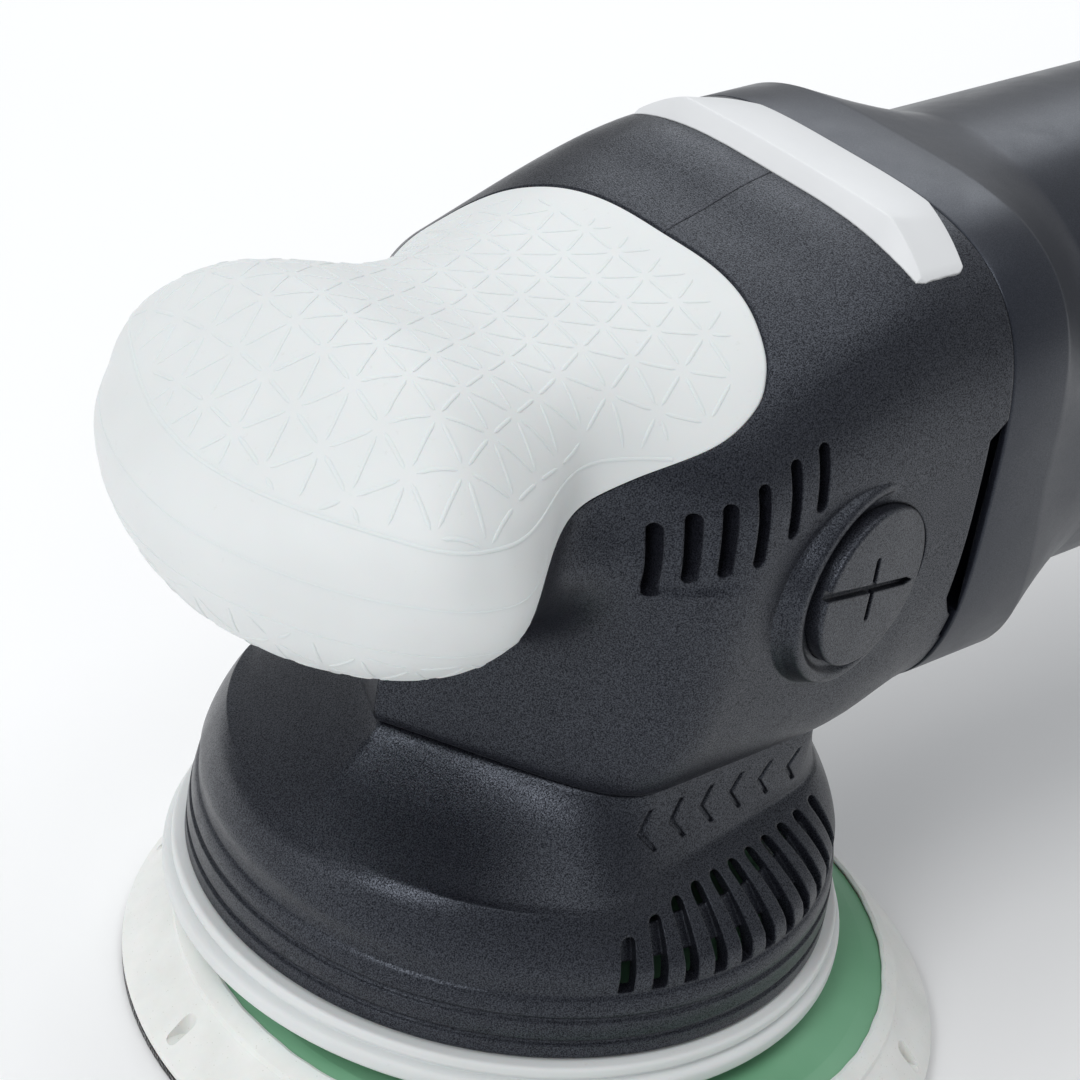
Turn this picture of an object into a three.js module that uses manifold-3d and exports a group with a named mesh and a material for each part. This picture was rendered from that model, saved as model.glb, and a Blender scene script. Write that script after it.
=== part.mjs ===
// Long-throw dual action polisher. A motor lies along X and drives an upright spindle through a
// pinion and crown gear. An eccentric carrier lets the pad turn freely about an axis that orbits.
// Millimetres. +X is forward to the nose, +Y the tool's left side, +Z up.
// The origin is on the spindle's axis, in the plane of the pad's hook face.
import * as THREE from "three";
import { mergeVertices } from "three/addons/utils/BufferGeometryUtils.js";
import Module from "manifold-3d";

const wasm = await Module();
wasm.setup();

// ---------------------------------------------------------------- driving dimensions
const GAP = 0.3; // clearance between neighbouring pieces
const WALL = 2.8; // moulded housing wall
const MOTOR_Z = 89.2; // height of the motor's axis
const MOTOR_R = 37; // outer radius of the motor housing
const ORBIT = { x: -1.93, y: 7.21 }; // pad axis at rest, half of the 15 mm throw
const PAD_R = 62.5; // 125 mm backing pad
const DISC_R = 53.2;
const HOOK_TOP = 1.2;
const FOAM_TOP = 8.2;
const DISC_TOP = 12;
const SKIRT_BOTTOM = 20.5;
const RIM_Z = 55; // where the head stands on the shroud
const HEAD_REAR = -44; // where the head meets the motor housing
const HANDLE_FRONT = -205.3; // where the rear handle meets the motor housing
const HANDLE_REAR = -325;
const CROWN_TEETH = 38;
const PINION_TEETH = 9;
const GEAR_R = 20.5; // outer end of the crown gear's teeth
const GEAR_R_IN = 13.8; // inner end of the crown gear's teeth
// Each side handle boss leans by its tilt (degrees) about its rear edge, which lies in the wall.
const BOSS = { x: -19.5, z: 85.5, wall: 39.7, tilt: 9, ring: 16.2, plug: 12.2, step: 1.5, deep: 6.5 };
const BRUSH_X = -153; // carbon brushes
const SHAFT_R = 5;
const MOTOR_BORE = 33.6;
const STACK = { front: -84, rear: -132 }; // ends of the stator and of the armature core
const SPINDLE_R = 6;

// The head is a blend of a barrel that follows the motor, a waist and a round nose.
const BARREL = { top: 129, drop: 19.5, mid: 91, bottom: 50, wide: 39.6, wideLow: 38.6, front: 32.2 };
const BARREL_POWER = { rear: 3.5, front: 5.2, from: -44, to: -20 }; // roundness of its section
const FRONT_SLOPE = THREE.MathUtils.degToRad(27.7); // each side of the front face turns back by this
const WAIST = { x: 19, z: 97.5, wide: 28.5, wideUp: 26.2, down: 19, up: 23.2, half: 19, longer: 12 };
const NOSE = { x: 48, z: 100.9, front: 27, rear: 18.5, wide: 36.5, up: 20.1, down: 23.1, scale: 23.4 };
const HEAD_CENTRE = new THREE.Vector3(14, 0, 96); // every point of the head can be seen from here
const GRIP_SKIN = 2.5;

// ---------------------------------------------------------------- materials
function material(colour, roughness, metalness = 0) {
  return new THREE.MeshStandardMaterial({ color: colour, roughness, metalness });
}
const CHARCOAL = () => material(0x26282c, 0.62);
const SLATE = () => material(0x24272d, 0.45);
const WHITE_RUBBER = () => material(0xdfe3e3, 0.6);
const WHITE_PLASTIC = () => material(0xe4e5e4, 0.45);
const GREEN_PLASTIC = () => material(0x6fa87f, 0.4);
const FOAM = () => material(0xe9e8e2, 0.85);
const BLACK = () => material(0x141416, 0.7);
const STEEL = () => material(0xb4b6b8, 0.3, 1);
const DARK_STEEL = () => material(0x55585c, 0.4, 1);
const ALUMINIUM = () => material(0xc3c5c7, 0.45, 1);
const COPPER = () => material(0xb26a3c, 0.35, 1);
const GRAPHITE = () => material(0x2b2b2b, 0.8);
const BRASS = () => material(0xb8923f, 0.35, 1);
const AMBER_PLASTIC = () => material(0x7a5c34, 0.5);
const BOARD = () => material(0x3c4a52, 0.5);

// ---------------------------------------------------------------- solids
const polisher = new THREE.Group();

function solidFrom(positions, indices) {
  const triangles = [];
  for (let i = 0; i < indices.length; i += 3) {
    const [a, b, c] = [indices[i], indices[i + 1], indices[i + 2]];
    if (a !== b && b !== c && a !== c) triangles.push(a, b, c);
  }
  const build = (list) => new wasm.Manifold(new wasm.Mesh({
    numProp: 3, vertProperties: new Float32Array(positions), triVerts: new Uint32Array(list),
  }));
  const solid = build(triangles);
  if (solid.volume() > 0) return solid;
  for (let i = 0; i < triangles.length; i += 3) {
    [triangles[i + 1], triangles[i + 2]] = [triangles[i + 2], triangles[i + 1]];
  }
  return build(triangles);
}

function solidOf(geometry) {
  geometry.deleteAttribute("normal");
  geometry.deleteAttribute("uv");
  const merged = mergeVertices(geometry, 1e-4);
  return solidFrom(merged.attributes.position.array, merged.index.array);
}

function piece(name, solid, look) {
  const mesh = solid.getMesh();
  const geometry = new THREE.BufferGeometry();
  const points = new Float32Array(mesh.numVert * 3);
  for (let i = 0; i < mesh.numVert; i++) {
    for (let k = 0; k < 3; k++) points[3 * i + k] = mesh.vertProperties[i * mesh.numProp + k];
  }
  geometry.setAttribute("position", new THREE.BufferAttribute(points, 3));
  geometry.setIndex(new THREE.BufferAttribute(new Uint32Array(mesh.triVerts), 1));
  geometry.computeVertexNormals();
  const part = new THREE.Mesh(geometry, look);
  part.name = name;
  polisher.add(part);
}

function union(first, ...rest) {
  return rest.reduce((sum, solid) => sum.add(solid), first);
}

function cut(first, ...rest) {
  return rest.reduce((left, solid) => left.subtract(solid), first);
}

// An interval measured outwards from the middle plane, on the left side (1) or the right (-1).
function span(side, inner, outer) {
  return side > 0 ? [inner, outer] : [-outer, -inner];
}

function block(x0, x1, y0, y1, z0, z1) {
  const box = new THREE.BoxGeometry(x1 - x0, y1 - y0, z1 - z0);
  box.translate((x0 + x1) / 2, (y0 + y1) / 2, (z0 + z1) / 2);
  return solidOf(box);
}

// A turned solid about Z. The profile is a closed outline of [radius, z] corners.
function turned(profile, segments = 18, x = 0, y = 0) {
  const points = [...profile, profile[0]].map(([r, z]) => new THREE.Vector2(r, z));
  const lathe = new THREE.LatheGeometry(points, segments);
  lathe.rotateX(Math.PI / 2);
  lathe.translate(x, y, 0);
  return solidOf(lathe);
}

// The same, about the motor's axis: the profile is [radius, x].
function turnedX(profile, segments = 18) {
  const points = [...profile, profile[0]].map(([r, x]) => new THREE.Vector2(r, x));
  const lathe = new THREE.LatheGeometry(points, segments);
  lathe.rotateZ(-Math.PI / 2);
  lathe.translate(0, 0, MOTOR_Z);
  return solidOf(lathe);
}

function rod(radius, from, to, segments = 16) {
  const [a, b] = [new THREE.Vector3(...from), new THREE.Vector3(...to)];
  const along = b.clone().sub(a);
  const cylinder = new THREE.CylinderGeometry(radius, radius, along.length(), segments);
  cylinder.applyQuaternion(
    new THREE.Quaternion().setFromUnitVectors(new THREE.Vector3(0, 1, 0), along.clone().normalize()));
  cylinder.translate(...a.add(b).multiplyScalar(0.5).toArray());
  return solidOf(cylinder);
}

function ringProfile(inner, outer, low, high) {
  return [[inner, low], [outer, low], [outer, high], [inner, high]];
}

function diskProfile(radius, low, high) {
  return [[0, low], [radius, low], [radius, high], [0, high]];
}

// Two triangles between each pair of neighbours in rows of equally many points.
function gridIndices(total, count, closed = false) {
  const indices = [];
  for (let i = 0; i < (closed ? total : total - 1); i++) {
    const next = ((i + 1) % total) * count;
    for (let j = 0; j < count; j++) {
      const k = (j + 1) % count;
      indices.push(i * count + j, i * count + k, next + k, i * count + j, next + k, next + j);
    }
  }
  return indices;
}

// Rows of equally many points, joined into one skin with a fan at each end.
function loft(rows) {
  const count = rows[0].length;
  const positions = rows.flat(2);
  const indices = gridIndices(rows.length, count);
  for (const [row, flip] of [[0, true], [rows.length - 1, false]]) {
    const middle = [0, 1, 2].map((k) => rows[row].reduce((sum, p) => sum + p[k], 0) / count);
    const centre = positions.length / 3;
    positions.push(...middle);
    for (let j = 0; j < count; j++) {
      const a = row * count + j;
      const b = row * count + ((j + 1) % count);
      indices.push(...(flip ? [centre, b, a] : [centre, a, b]));
    }
  }
  return solidFrom(positions, indices);
}

// Rows that close on themselves both ways, as the skin of a ring.
function closedLoft(rows) {
  return solidFrom(rows.flat(2), gridIndices(rows.length, rows[0].length, true));
}

// ---------------------------------------------------------------- the head's outer surface
const clamp = THREE.MathUtils.clamp;
const smoothstep = THREE.MathUtils.smoothstep;

function blend(a, b, k) {
  const h = clamp(0.5 + (0.5 * (b - a)) / k, 0, 1);
  return b + (a - b) * h - k * h * (1 - h);
}

function superEllipse(u, v, w, n) {
  return (Math.abs(u) ** n + Math.abs(v) ** n + Math.abs(w) ** n) ** (1 / n);
}

function barrel(x, y, z) {
  const top = BARREL.top - BARREL.drop * smoothstep(x, -34, 30);
  const high = z > BARREL.mid ? top - BARREL.mid : BARREL.mid - BARREL.bottom;
  const wide = BARREL.wide - (BARREL.wide - BARREL.wideLow) * smoothstep(BARREL.mid - z, 0, 25);
  const { rear, front: fuller, from, to } = BARREL_POWER;
  const power = z > BARREL.mid ? rear : rear + (fuller - rear) * smoothstep(x, from, to);
  const tube = (superEllipse(y / wide, (z - BARREL.mid) / high, 0, power) - 1) * Math.min(wide, high);
  const front = (x - BARREL.front) * Math.cos(FRONT_SLOPE) + Math.abs(y) * Math.sin(FRONT_SLOPE);
  return -blend(-tube, -front, 6 + 3 * smoothstep(z, RIM_Z, 80));
}

function waist(x, y, z) {
  const [high, power] = z > WAIST.z ? [WAIST.up, 3] : [WAIST.down, 2.4];
  const wide = WAIST.wide + (WAIST.wideUp - WAIST.wide) * smoothstep(z, 92, 104);
  const tube = (superEllipse(y / wide, (z - WAIST.z) / high, 0, power) - 1) * WAIST.down;
  const long = WAIST.half + WAIST.longer * smoothstep(z, 90, 106);
  return -blend(-tube, -(Math.abs(x - WAIST.x) - long), 6);
}

function nose(x, y, z) {
  const long = x > NOSE.x ? NOSE.front : NOSE.rear;
  const high = z > NOSE.z ? NOSE.up : NOSE.down;
  return (superEllipse((x - NOSE.x) / long, y / NOSE.wide, (z - NOSE.z) / high, 1.9) - 1) * NOSE.scale;
}

// Negative inside the head, zero on its surface, about the distance to it elsewhere.
function headField(x, y, z) {
  return blend(blend(barrel(x, y, z), waist(x, y, z), 8), nose(x, y, z), 10 + 6 * smoothstep(z, 96, 112));
}

// Directions are turned from +X by alpha, towards the compass angle phi from +Y up to +Z.
function direction(alpha, phi) {
  return [Math.cos(alpha), Math.sin(alpha) * Math.cos(phi), Math.sin(alpha) * Math.sin(phi)];
}

function reach(alpha, phi, offset) {
  const [dx, dy, dz] = direction(alpha, phi);
  let [near, far] = [5, 110];
  for (let i = 0; i < 40; i++) {
    const r = (near + far) / 2;
    const depth = headField(HEAD_CENTRE.x + r * dx, HEAD_CENTRE.y + r * dy, HEAD_CENTRE.z + r * dz);
    if (depth > offset) far = r;
    else near = r;
  }
  return near;
}

function headPoint(alpha, phi, r) {
  return direction(alpha, phi).map((d, k) => HEAD_CENTRE.getComponent(k) + r * d);
}

const HEAD_ROWS = 17;
const HEAD_COLUMNS = 22;

// The head's whole surface moved outwards by offset, as one solid.
function headSolid(offset) {
  const rows = [];
  for (let i = 0; i < HEAD_ROWS; i++) {
    const alpha = (Math.PI * (i + 0.35)) / (HEAD_ROWS - 0.3);
    const row = [];
    for (let j = 0; j < HEAD_COLUMNS; j++) {
      const phi = (2 * Math.PI * j) / HEAD_COLUMNS;
      row.push(headPoint(alpha, phi, reach(alpha, phi, offset)));
    }
    rows.push(row);
  }
  return loft(rows);
}

// The grip's edge, as [phi, alpha] in degrees from its lowest point up to its rear tip.
const GRIP_EDGE = [[-90, 35.3], [-47, 40], [-23, 47.4], [-2, 51.8], [5, 56], [13.9, 64.3], [20.5, 81.5],
  [25, 99.6], [30, 109.6], [36.6, 115.3], [48, 121], [70, 128.2], [90, 130]];

function gripEdge() {
  const other = GRIP_EDGE.slice(1, -1).reverse().map(([phi, alpha]) => [180 - phi, alpha]);
  return [...GRIP_EDGE, ...other];
}

// Everything seen from the head's centre inside the grip's edge, grown by some degrees.
function gripFan(grow) {
  const edge = gripEdge();
  const shares = [1, 0.8, 0.6, 0.4, 0.2];
  const rows = shares.map((share) => edge.map(([phi, alpha]) => headPoint(
    THREE.MathUtils.degToRad((alpha + grow) * share), THREE.MathUtils.degToRad(phi), 120)));
  const positions = rows.flat(2);
  const count = edge.length;
  const indices = gridIndices(rows.length, count);
  const tip = positions.length / 3;
  positions.push(...headPoint(0, 0, 120), ...HEAD_CENTRE.toArray());
  const last = (rows.length - 1) * count;
  for (let j = 0; j < count; j++) {
    indices.push(last + j, last + ((j + 1) % count), tip);
    indices.push((j + 1) % count, j, tip + 1);
  }
  return solidFrom(positions, indices);
}

// ---------------------------------------------------------------- head covers, grip and trim
const SIDE_VENTS = [[16.3, 91, 100.7], [12.2, 92.4, 102.2], [8.2, 93.9, 103.4], [3.6, 95.4, 105.7],
  [-2, 98.3, 107.3], [-7, 101.5, 109.3]]; // x, bottom and top of each slot
const VENT_WIDTH = 1.9;
const NOTCH = { width: 2.4, low: 72, high: 104 }; // the slot between head and motor
const GRIP_DEPTH = 4.9; // skin, gap and the wall under the grip
const FAN_GAP = 0.6; // degrees between the covers' edge and the grip's

// A place in the boss's own frame: back from its middle, up, and out from its face.
function bossPoint(side, back, up, out) {
  const tilt = THREE.MathUtils.degToRad(BOSS.tilt);
  const fromEdge = BOSS.plug - back;
  return [BOSS.x - BOSS.plug + fromEdge * Math.cos(tilt) - out * Math.sin(tilt),
    side * (BOSS.wall + fromEdge * Math.sin(tilt) + out * Math.cos(tilt)), BOSS.z + up];
}

function bossRod(side, radius, inner, outer) {
  return rod(radius, bossPoint(side, 0, 0, inner), bossPoint(side, 0, 0, outer), 18);
}

function headCovers() {
  const outer = union(cut(headSolid(0), gripFan(FAN_GAP)), headSolid(-GRIP_SKIN - GAP));
  const cavity = union(cut(headSolid(-WALL), gripFan(7)), headSolid(-GRIP_DEPTH - GAP));
  const shell = cut(outer, cavity,
    block(-200, HEAD_REAR, -200, 200, -100, 300),
    block(-200, 200, -200, 200, -100, RIM_Z),
    block(HEAD_REAR - 1, HEAD_REAR + NOTCH.width, -60, 60, NOTCH.low, NOTCH.high));
  for (const [name, side] of [["head_cover_left", 1], ["head_cover_right", -1]]) {
    const half = block(-90, 90, ...span(side, GAP / 2, 60), 20, 160);
    const ring = bossRod(side, BOSS.ring, -BOSS.deep, -BOSS.step);
    const hole = bossRod(side, BOSS.plug + GAP, -20, 10);
    const vents = SIDE_VENTS.map(([x, low, high]) => block(
      x - VENT_WIDTH / 2, x + VENT_WIDTH / 2, ...span(side, 20, 50), low, high));
    piece(name, cut(union(shell.intersect(half), ring), hole, ...vents), CHARCOAL());
  }
  piece("nose_grip", cut(headSolid(0).intersect(gripFan(0)), headSolid(-GRIP_SKIN)), WHITE_RUBBER());
}

// The strip has a steep front face and a top that runs back to the motor housing. Its ends turn down.
// Beyond the kink its rear edge runs forward, and beyond the bend its ridge falls.
const STRIP = { half: 29.2, front: -28.8, ridge: -31.4, rear: -43.8, rearEnd: -39.2, rearRise: 0.9,
  ridgeTop: 131.3, ridgeFall: 5.3, bend: 20.7, kink: 17 };

function barrelTop(y) {
  const high = BARREL.top - BARREL.mid;
  return BARREL.mid + high * (1 - Math.abs(y / BARREL.wide) ** 3.5) ** (1 / 3.5);
}

function accentStrip() {
  const rows = [];
  for (let i = 0; i <= 16; i++) {
    const y = STRIP.half * (i / 8 - 1);
    const past = Math.max(Math.abs(y) - STRIP.bend, 0) / (STRIP.half - STRIP.bend);
    const back = Math.max(Math.abs(y) - STRIP.kink, 0) / (STRIP.half - STRIP.kink);
    const rear = STRIP.rear + (STRIP.rearEnd - STRIP.rear) * back;
    const ridge = STRIP.ridgeTop - 0.001 * y * y - STRIP.ridgeFall * past;
    const low = barrelTop(y) - 6;
    rows.push([[STRIP.front, y, barrelTop(y) - 0.6], [STRIP.ridge, y, ridge],
      [rear, y, barrelTop(y) + STRIP.rearRise], [rear, y, low], [STRIP.front, y, low]]);
  }
  piece("accent_strip", cut(loft(rows), headSolid(GAP)), WHITE_PLASTIC());
}

function bossPlugs() {
  for (const [name, side] of [["boss_plug_left", 1], ["boss_plug_right", -1]]) {
    const longSlot = rod(0.85, bossPoint(side, -13, 3.2, 0.3), bossPoint(side, 9.4, -2.3, 0.3), 8);
    const crossSlot = rod(0.6, bossPoint(side, 0, -5.2, 0.2), bossPoint(side, 0, 5.2, 0.2), 8);
    piece(name, cut(bossRod(side, BOSS.plug, -8, 0), union(longSlot, crossSlot)), CHARCOAL());
  }
}

// ---------------------------------------------------------------- shroud
// Round below, it narrows to a flatter crease above the vents and then to the head's own outline.
const SHROUD_WALL = 2.6;
const BAND = { low: 32, crease: 42.5, radius: 48.2, step: 0.6 };
const CREASE = { round: 44.1, front: 0.9, flank: 36.6, turn: 0.17, blend: 3 };
const NECK_R = 41; // the neck's greatest radius
const SHROUD_HEIGHTS = [20.5, 28, 32, 35, 38, 40.5, 42.5, 43, 46, 50, RIM_Z - GAP];
const SHROUD_COLUMNS = 36;

function rimRadius(angle) {
  let [near, far] = [5, NECK_R];
  for (let i = 0; i < 40; i++) {
    const r = (near + far) / 2;
    if (headField(r * Math.cos(angle), r * Math.sin(angle), RIM_Z + 1) > -1.2) far = r;
    else near = r;
  }
  return near;
}

function creaseRadius(angle) {
  const round = CREASE.round + CREASE.front * Math.cos(angle);
  const facing = Math.max(Math.abs(Math.sin(angle)) - CREASE.turn * Math.cos(angle), 0.01);
  return blend(round, CREASE.flank / facing, CREASE.blend);
}

function shroudRadius(angle, z) {
  if (z <= BAND.low) return BAND.radius + 0.7 * smoothstep(BAND.low - z, 0, 7);
  const crease = creaseRadius(angle);
  if (z <= BAND.crease) {
    const t = (BAND.crease - z) / (BAND.crease - BAND.low);
    return crease + (BAND.radius - crease) * (1 - (1 - t) ** 1.6);
  }
  const left = (RIM_Z - GAP - z) / (RIM_Z - GAP - BAND.crease);
  const rim = rimRadius(angle);
  return rim + (crease - BAND.step - rim) * (0.35 * left + 0.65 * left * left);
}

function shroudRows(inset, heights) {
  return heights.map((z) => {
    const row = [];
    for (let j = 0; j < SHROUD_COLUMNS; j++) {
      const angle = (2 * Math.PI * j) / SHROUD_COLUMNS;
      const r = shroudRadius(angle, z) - inset;
      row.push([r * Math.cos(angle), r * Math.sin(angle), z]);
    }
    return row;
  });
}

// Slots round each flank, from the azimuth of the foremost in degrees.
const SKIRT_VENTS = { count: 11, start: 67, pitch: 6.5, width: 2.3, low: 31.2, tops: [38.8, 40.4, 41.4] };

function skirtVents() {
  const slots = [];
  for (const side of [1, -1]) {
    for (let i = 0; i < SKIRT_VENTS.count; i++) {
      const top = SKIRT_VENTS.tops[Math.min(i, SKIRT_VENTS.tops.length - 1)];
      const slot = new THREE.BoxGeometry(18, SKIRT_VENTS.width, top - SKIRT_VENTS.low);
      slot.translate(43, 0, (top + SKIRT_VENTS.low) / 2);
      slot.rotateZ(side * THREE.MathUtils.degToRad(SKIRT_VENTS.start + SKIRT_VENTS.pitch * i));
      slots.push(solidOf(slot));
    }
  }
  return slots;
}

function shroud() {
  const cavity = shroudRows(SHROUD_WALL, [SKIRT_BOTTOM - 1, 32, 38, 42.5, 46, 50]);
  const neckHole = turned(diskProfile(16, 40, 60), 18);
  const shell = cut(loft(shroudRows(0, SHROUD_HEIGHTS)), loft(cavity), neckHole);
  piece("shroud", cut(shell, ...skirtVents()), CHARCOAL());
}

function bumperRing() {
  const ring = [[43.8, 14.2], [50.6, 14.2], [51.9, 15.2], [51.9, 17.4], [50.2, 20.2], [45.2, 20.2],
    [45.2, 26], [43.8, 26]];
  piece("bumper_ring", turned(ring, 32), WHITE_RUBBER());
}

// ---------------------------------------------------------------- pad
function pad() {
  const { x, y } = ORBIT;
  piece("hook_face", turned(diskProfile(PAD_R - 0.3, 0, HOOK_TOP), 32, x, y), BLACK());
  const foam = [[0, HOOK_TOP], [PAD_R, HOOK_TOP], [PAD_R, 2.2], [DISC_R + 1, 10.6], [DISC_R + GAP, 10.6],
    [DISC_R + GAP, FOAM_TOP], [0, FOAM_TOP]];
  piece("pad_foam", turned(foam, 32, x, y), FOAM());
  const disc = [[0, FOAM_TOP], [DISC_R, FOAM_TOP], [DISC_R, 11.3], [50, DISC_TOP], [4.3, DISC_TOP],
    [4.3, 9.2], [0, 9.2]];
  piece("backing_disc", turned(disc, 32, x, y), GREEN_PLASTIC());
  const shaft = [[0, 9.5], [4, 9.5], [4, DISC_TOP], [9, DISC_TOP], [9, 15.6], [SPINDLE_R, 15.6],
    [SPINDLE_R, 33.2], [3, 33.2], [3, 37], [0, 37]];
  piece("pad_shaft", turned(shaft, 24, x, y), STEEL());
  const nut = cut(turned(diskProfile(8, 33.4, 36.4), 6, x, y), turned(diskProfile(3.3, 30, 40), 12, x, y));
  piece("pad_shaft_nut", nut, DARK_STEEL());
}

// ---------------------------------------------------------------- spindle and eccentric
function spindle() {
  const shaft = [[0, 42], [SPINDLE_R, 42], [SPINDLE_R, 90], [4, 90], [4, 99], [0, 99]];
  piece("spindle_shaft", turned(shaft, 18), STEEL());
  const { x, y } = ORBIT;
  const cup = turned(diskProfile(16.4, 17.2, 40), 28, x, y);
  const hub = turned(diskProfile(11, 36, 50), 18);
  const bearingBore = turned(diskProfile(13.3, 10, 37.5), 28, x, y);
  const shaftBore = turned(diskProfile(SPINDLE_R + GAP, 41.7, 60), 18);
  piece("eccentric_carrier", cut(union(cup, hub), bearingBore, shaftBore), DARK_STEEL());
  piece("counterweight", counterweight(), STEEL());
  for (const [name, low] of [["pad_bearing_lower", 17.6], ["pad_bearing_upper", 26]]) {
    piece(name, turned(ringProfile(SPINDLE_R + GAP, 13, low, low + 7), 24, x, y), STEEL());
  }
}

// A collar round the carrier's hub with a heavy sector opposite the pad's axis.
function counterweight() {
  const facing = Math.atan2(-ORBIT.y, -ORBIT.x);
  const sector = new THREE.Shape();
  const spread = THREE.MathUtils.degToRad(66);
  sector.absarc(0, 0, 40.4, -spread, spread, false);
  sector.absarc(0, 0, 19, spread, -spread, true);
  const heavy = new THREE.ExtrudeGeometry(sector, { depth: 12, bevelEnabled: false, curveSegments: 12 });
  heavy.rotateZ(facing);
  heavy.translate(0, 0, 25);
  const upper = new THREE.Shape();
  upper.absarc(0, 0, 30, -spread, spread, false);
  upper.absarc(0, 0, 11.4, spread, -spread, true);
  const web = new THREE.ExtrudeGeometry(upper, { depth: 8, bevelEnabled: false, curveSegments: 12 });
  web.rotateZ(facing);
  web.translate(0, 0, 36.5);
  const collar = turned(ringProfile(11.3, 18, 40.4, 46), 18);
  const cupRoom = turned(diskProfile(16.4 + GAP, 10, 40.3), 28, ORBIT.x, ORBIT.y);
  return cut(union(solidOf(heavy), solidOf(web), collar), cupRoom);
}

// ---------------------------------------------------------------- gears
// Both gears taper towards the point where their axes cross.
const MODULE = (2 * GEAR_R) / CROWN_TEETH;
const PINION_R = (GEAR_R * PINION_TEETH) / CROWN_TEETH;
const TOOTH = { add: 0.75 * MODULE, root: 1.25 * MODULE, tipShare: 0.11, rootShare: 0.31 };

function crownGear() {
  const pitch = (2 * Math.PI) / CROWN_TEETH;
  const outline = [];
  for (let i = 0; i < CROWN_TEETH; i++) {
    outline.push([(i - TOOTH.rootShare) * pitch, -TOOTH.root], [(i - TOOTH.tipShare) * pitch, TOOTH.add],
      [(i + TOOTH.tipShare) * pitch, TOOTH.add], [(i + TOOTH.rootShare) * pitch, -TOOTH.root]);
  }
  const toothed = (r) => outline.map(([a, h]) => [
    r * Math.cos(a), r * Math.sin(a), MOTOR_Z + (r / GEAR_R) * (h - PINION_R)]);
  const flat = (r, z) => outline.map(([a]) => [r * Math.cos(a), r * Math.sin(a), z]);
  const base = MOTOR_Z - 10.4;
  const teeth = closedLoft(
    [toothed(GEAR_R), toothed(GEAR_R_IN), flat(GEAR_R_IN, base), flat(GEAR_R, base)]);
  const hub = turned(ringProfile(SPINDLE_R + GAP, GEAR_R_IN + 0.6, base - 3, base + 1.5), 18);
  return union(teeth, hub);
}

function pinion() {
  const pitch = (2 * Math.PI) / PINION_TEETH;
  const flank = (TOOTH.tipShare + TOOTH.rootShare) * 0.5;
  const outline = [];
  for (let i = 0; i < PINION_TEETH; i++) {
    outline.push([i - TOOTH.rootShare, -TOOTH.root], [i - flank, 0], [i - TOOTH.tipShare, TOOTH.add],
      [i + TOOTH.tipShare, TOOTH.add], [i + flank, 0], [i + TOOTH.rootShare, -TOOTH.root]);
  }
  const start = pitch / 2; // a gap of the pinion takes the tooth below it
  const ring = (k, radius) => outline.map(([share, h]) => {
    const a = share * pitch + start;
    const r = radius ?? k * (PINION_R + h);
    return [-k * GEAR_R, -r * Math.sin(a), MOTOR_Z - r * Math.cos(a)];
  });
  const bore = 2.1;
  return closedLoft([ring(1), ring(GEAR_R_IN / GEAR_R), ring(GEAR_R_IN / GEAR_R, bore), ring(1, bore)]);
}

// ---------------------------------------------------------------- gearbox
function gearbox() {
  const body = [[0, 51], [15.4, 51], [15.4, 57.5], [19.6, 57.5], [19.6, 72], [25, 75], [25, 101], [0, 101]];
  const room = [[0, 72.4], [19, 72.4], [22.3, 75.6], [22.3, 102], [0, 102]];
  const bearingSeat = turned(diskProfile(16.3, 59.7, 73), 18);
  const spindleHole = turned(diskProfile(9.5, 45, 60), 18);
  const snout = turnedX(diskProfile(14.4, -42.6, -20), 18);
  const flange = block(-43, -39, -29, 29, 62, 116);
  const snoutBore = turnedX(diskProfile(11.3, -50, -28.6), 18);
  const pinionBore = turnedX(diskProfile(7.6, -30, -5), 18);
  const screwHoles = HEAD_SCREWS.map(([y, z]) => rod(2.3, [-50, y, z], [-38, y, z], 10));
  const casting = cut(union(turned(body, 18), snout, flange), turned(room, 18), bearingSeat, spindleHole,
    snoutBore, pinionBore, ...screwHoles);
  piece("gearbox_case", casting, ALUMINIUM());
  const cap = [[0, 101.3], [25, 101.3], [25, 104.3], [0, 104.3]];
  const socket = turned(diskProfile(14, 92.6, 102), 18);
  const seat = turned(diskProfile(11.3, 90, 100.4), 18);
  const tipRoom = turned(diskProfile(5, 90, 102.5), 16);
  const snoutRoom = turnedX(diskProfile(14.8, -45, -19), 18);
  piece("gearbox_cap", cut(union(turned(cap, 18), socket), seat, tipRoom, snoutRoom), ALUMINIUM());
  piece("bearing_retainer", turned(ringProfile(11.6, 18, 72.6, 73.8), 18), STEEL());
}

function bearings() {
  piece("spindle_bearing_lower", turned(ringProfile(SPINDLE_R + GAP, 16, 60, 71), 18), STEEL());
  piece("spindle_bearing_upper", turned(ringProfile(4 + GAP, 11, 93, 100), 18), STEEL());
  piece("motor_bearing_front", turnedX(ringProfile(SHAFT_R + GAP, 11, -36, -29), 18), STEEL());
  piece("motor_bearing_rear", turnedX(ringProfile(SHAFT_R + GAP, 11, -194, -187), 18), STEEL());
}

// ---------------------------------------------------------------- motor
const HEAD_SCREWS = [[21.5, 70.5], [-21.5, 70.5], [21.5, 107.9], [-21.5, 107.9]]; // y and z of each

const SECTION_POINTS = 28;
const COLLAR = { front: -44.4, crease: -56, lean: 0.165, leanBelow: 90, blend: 15 };

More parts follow.
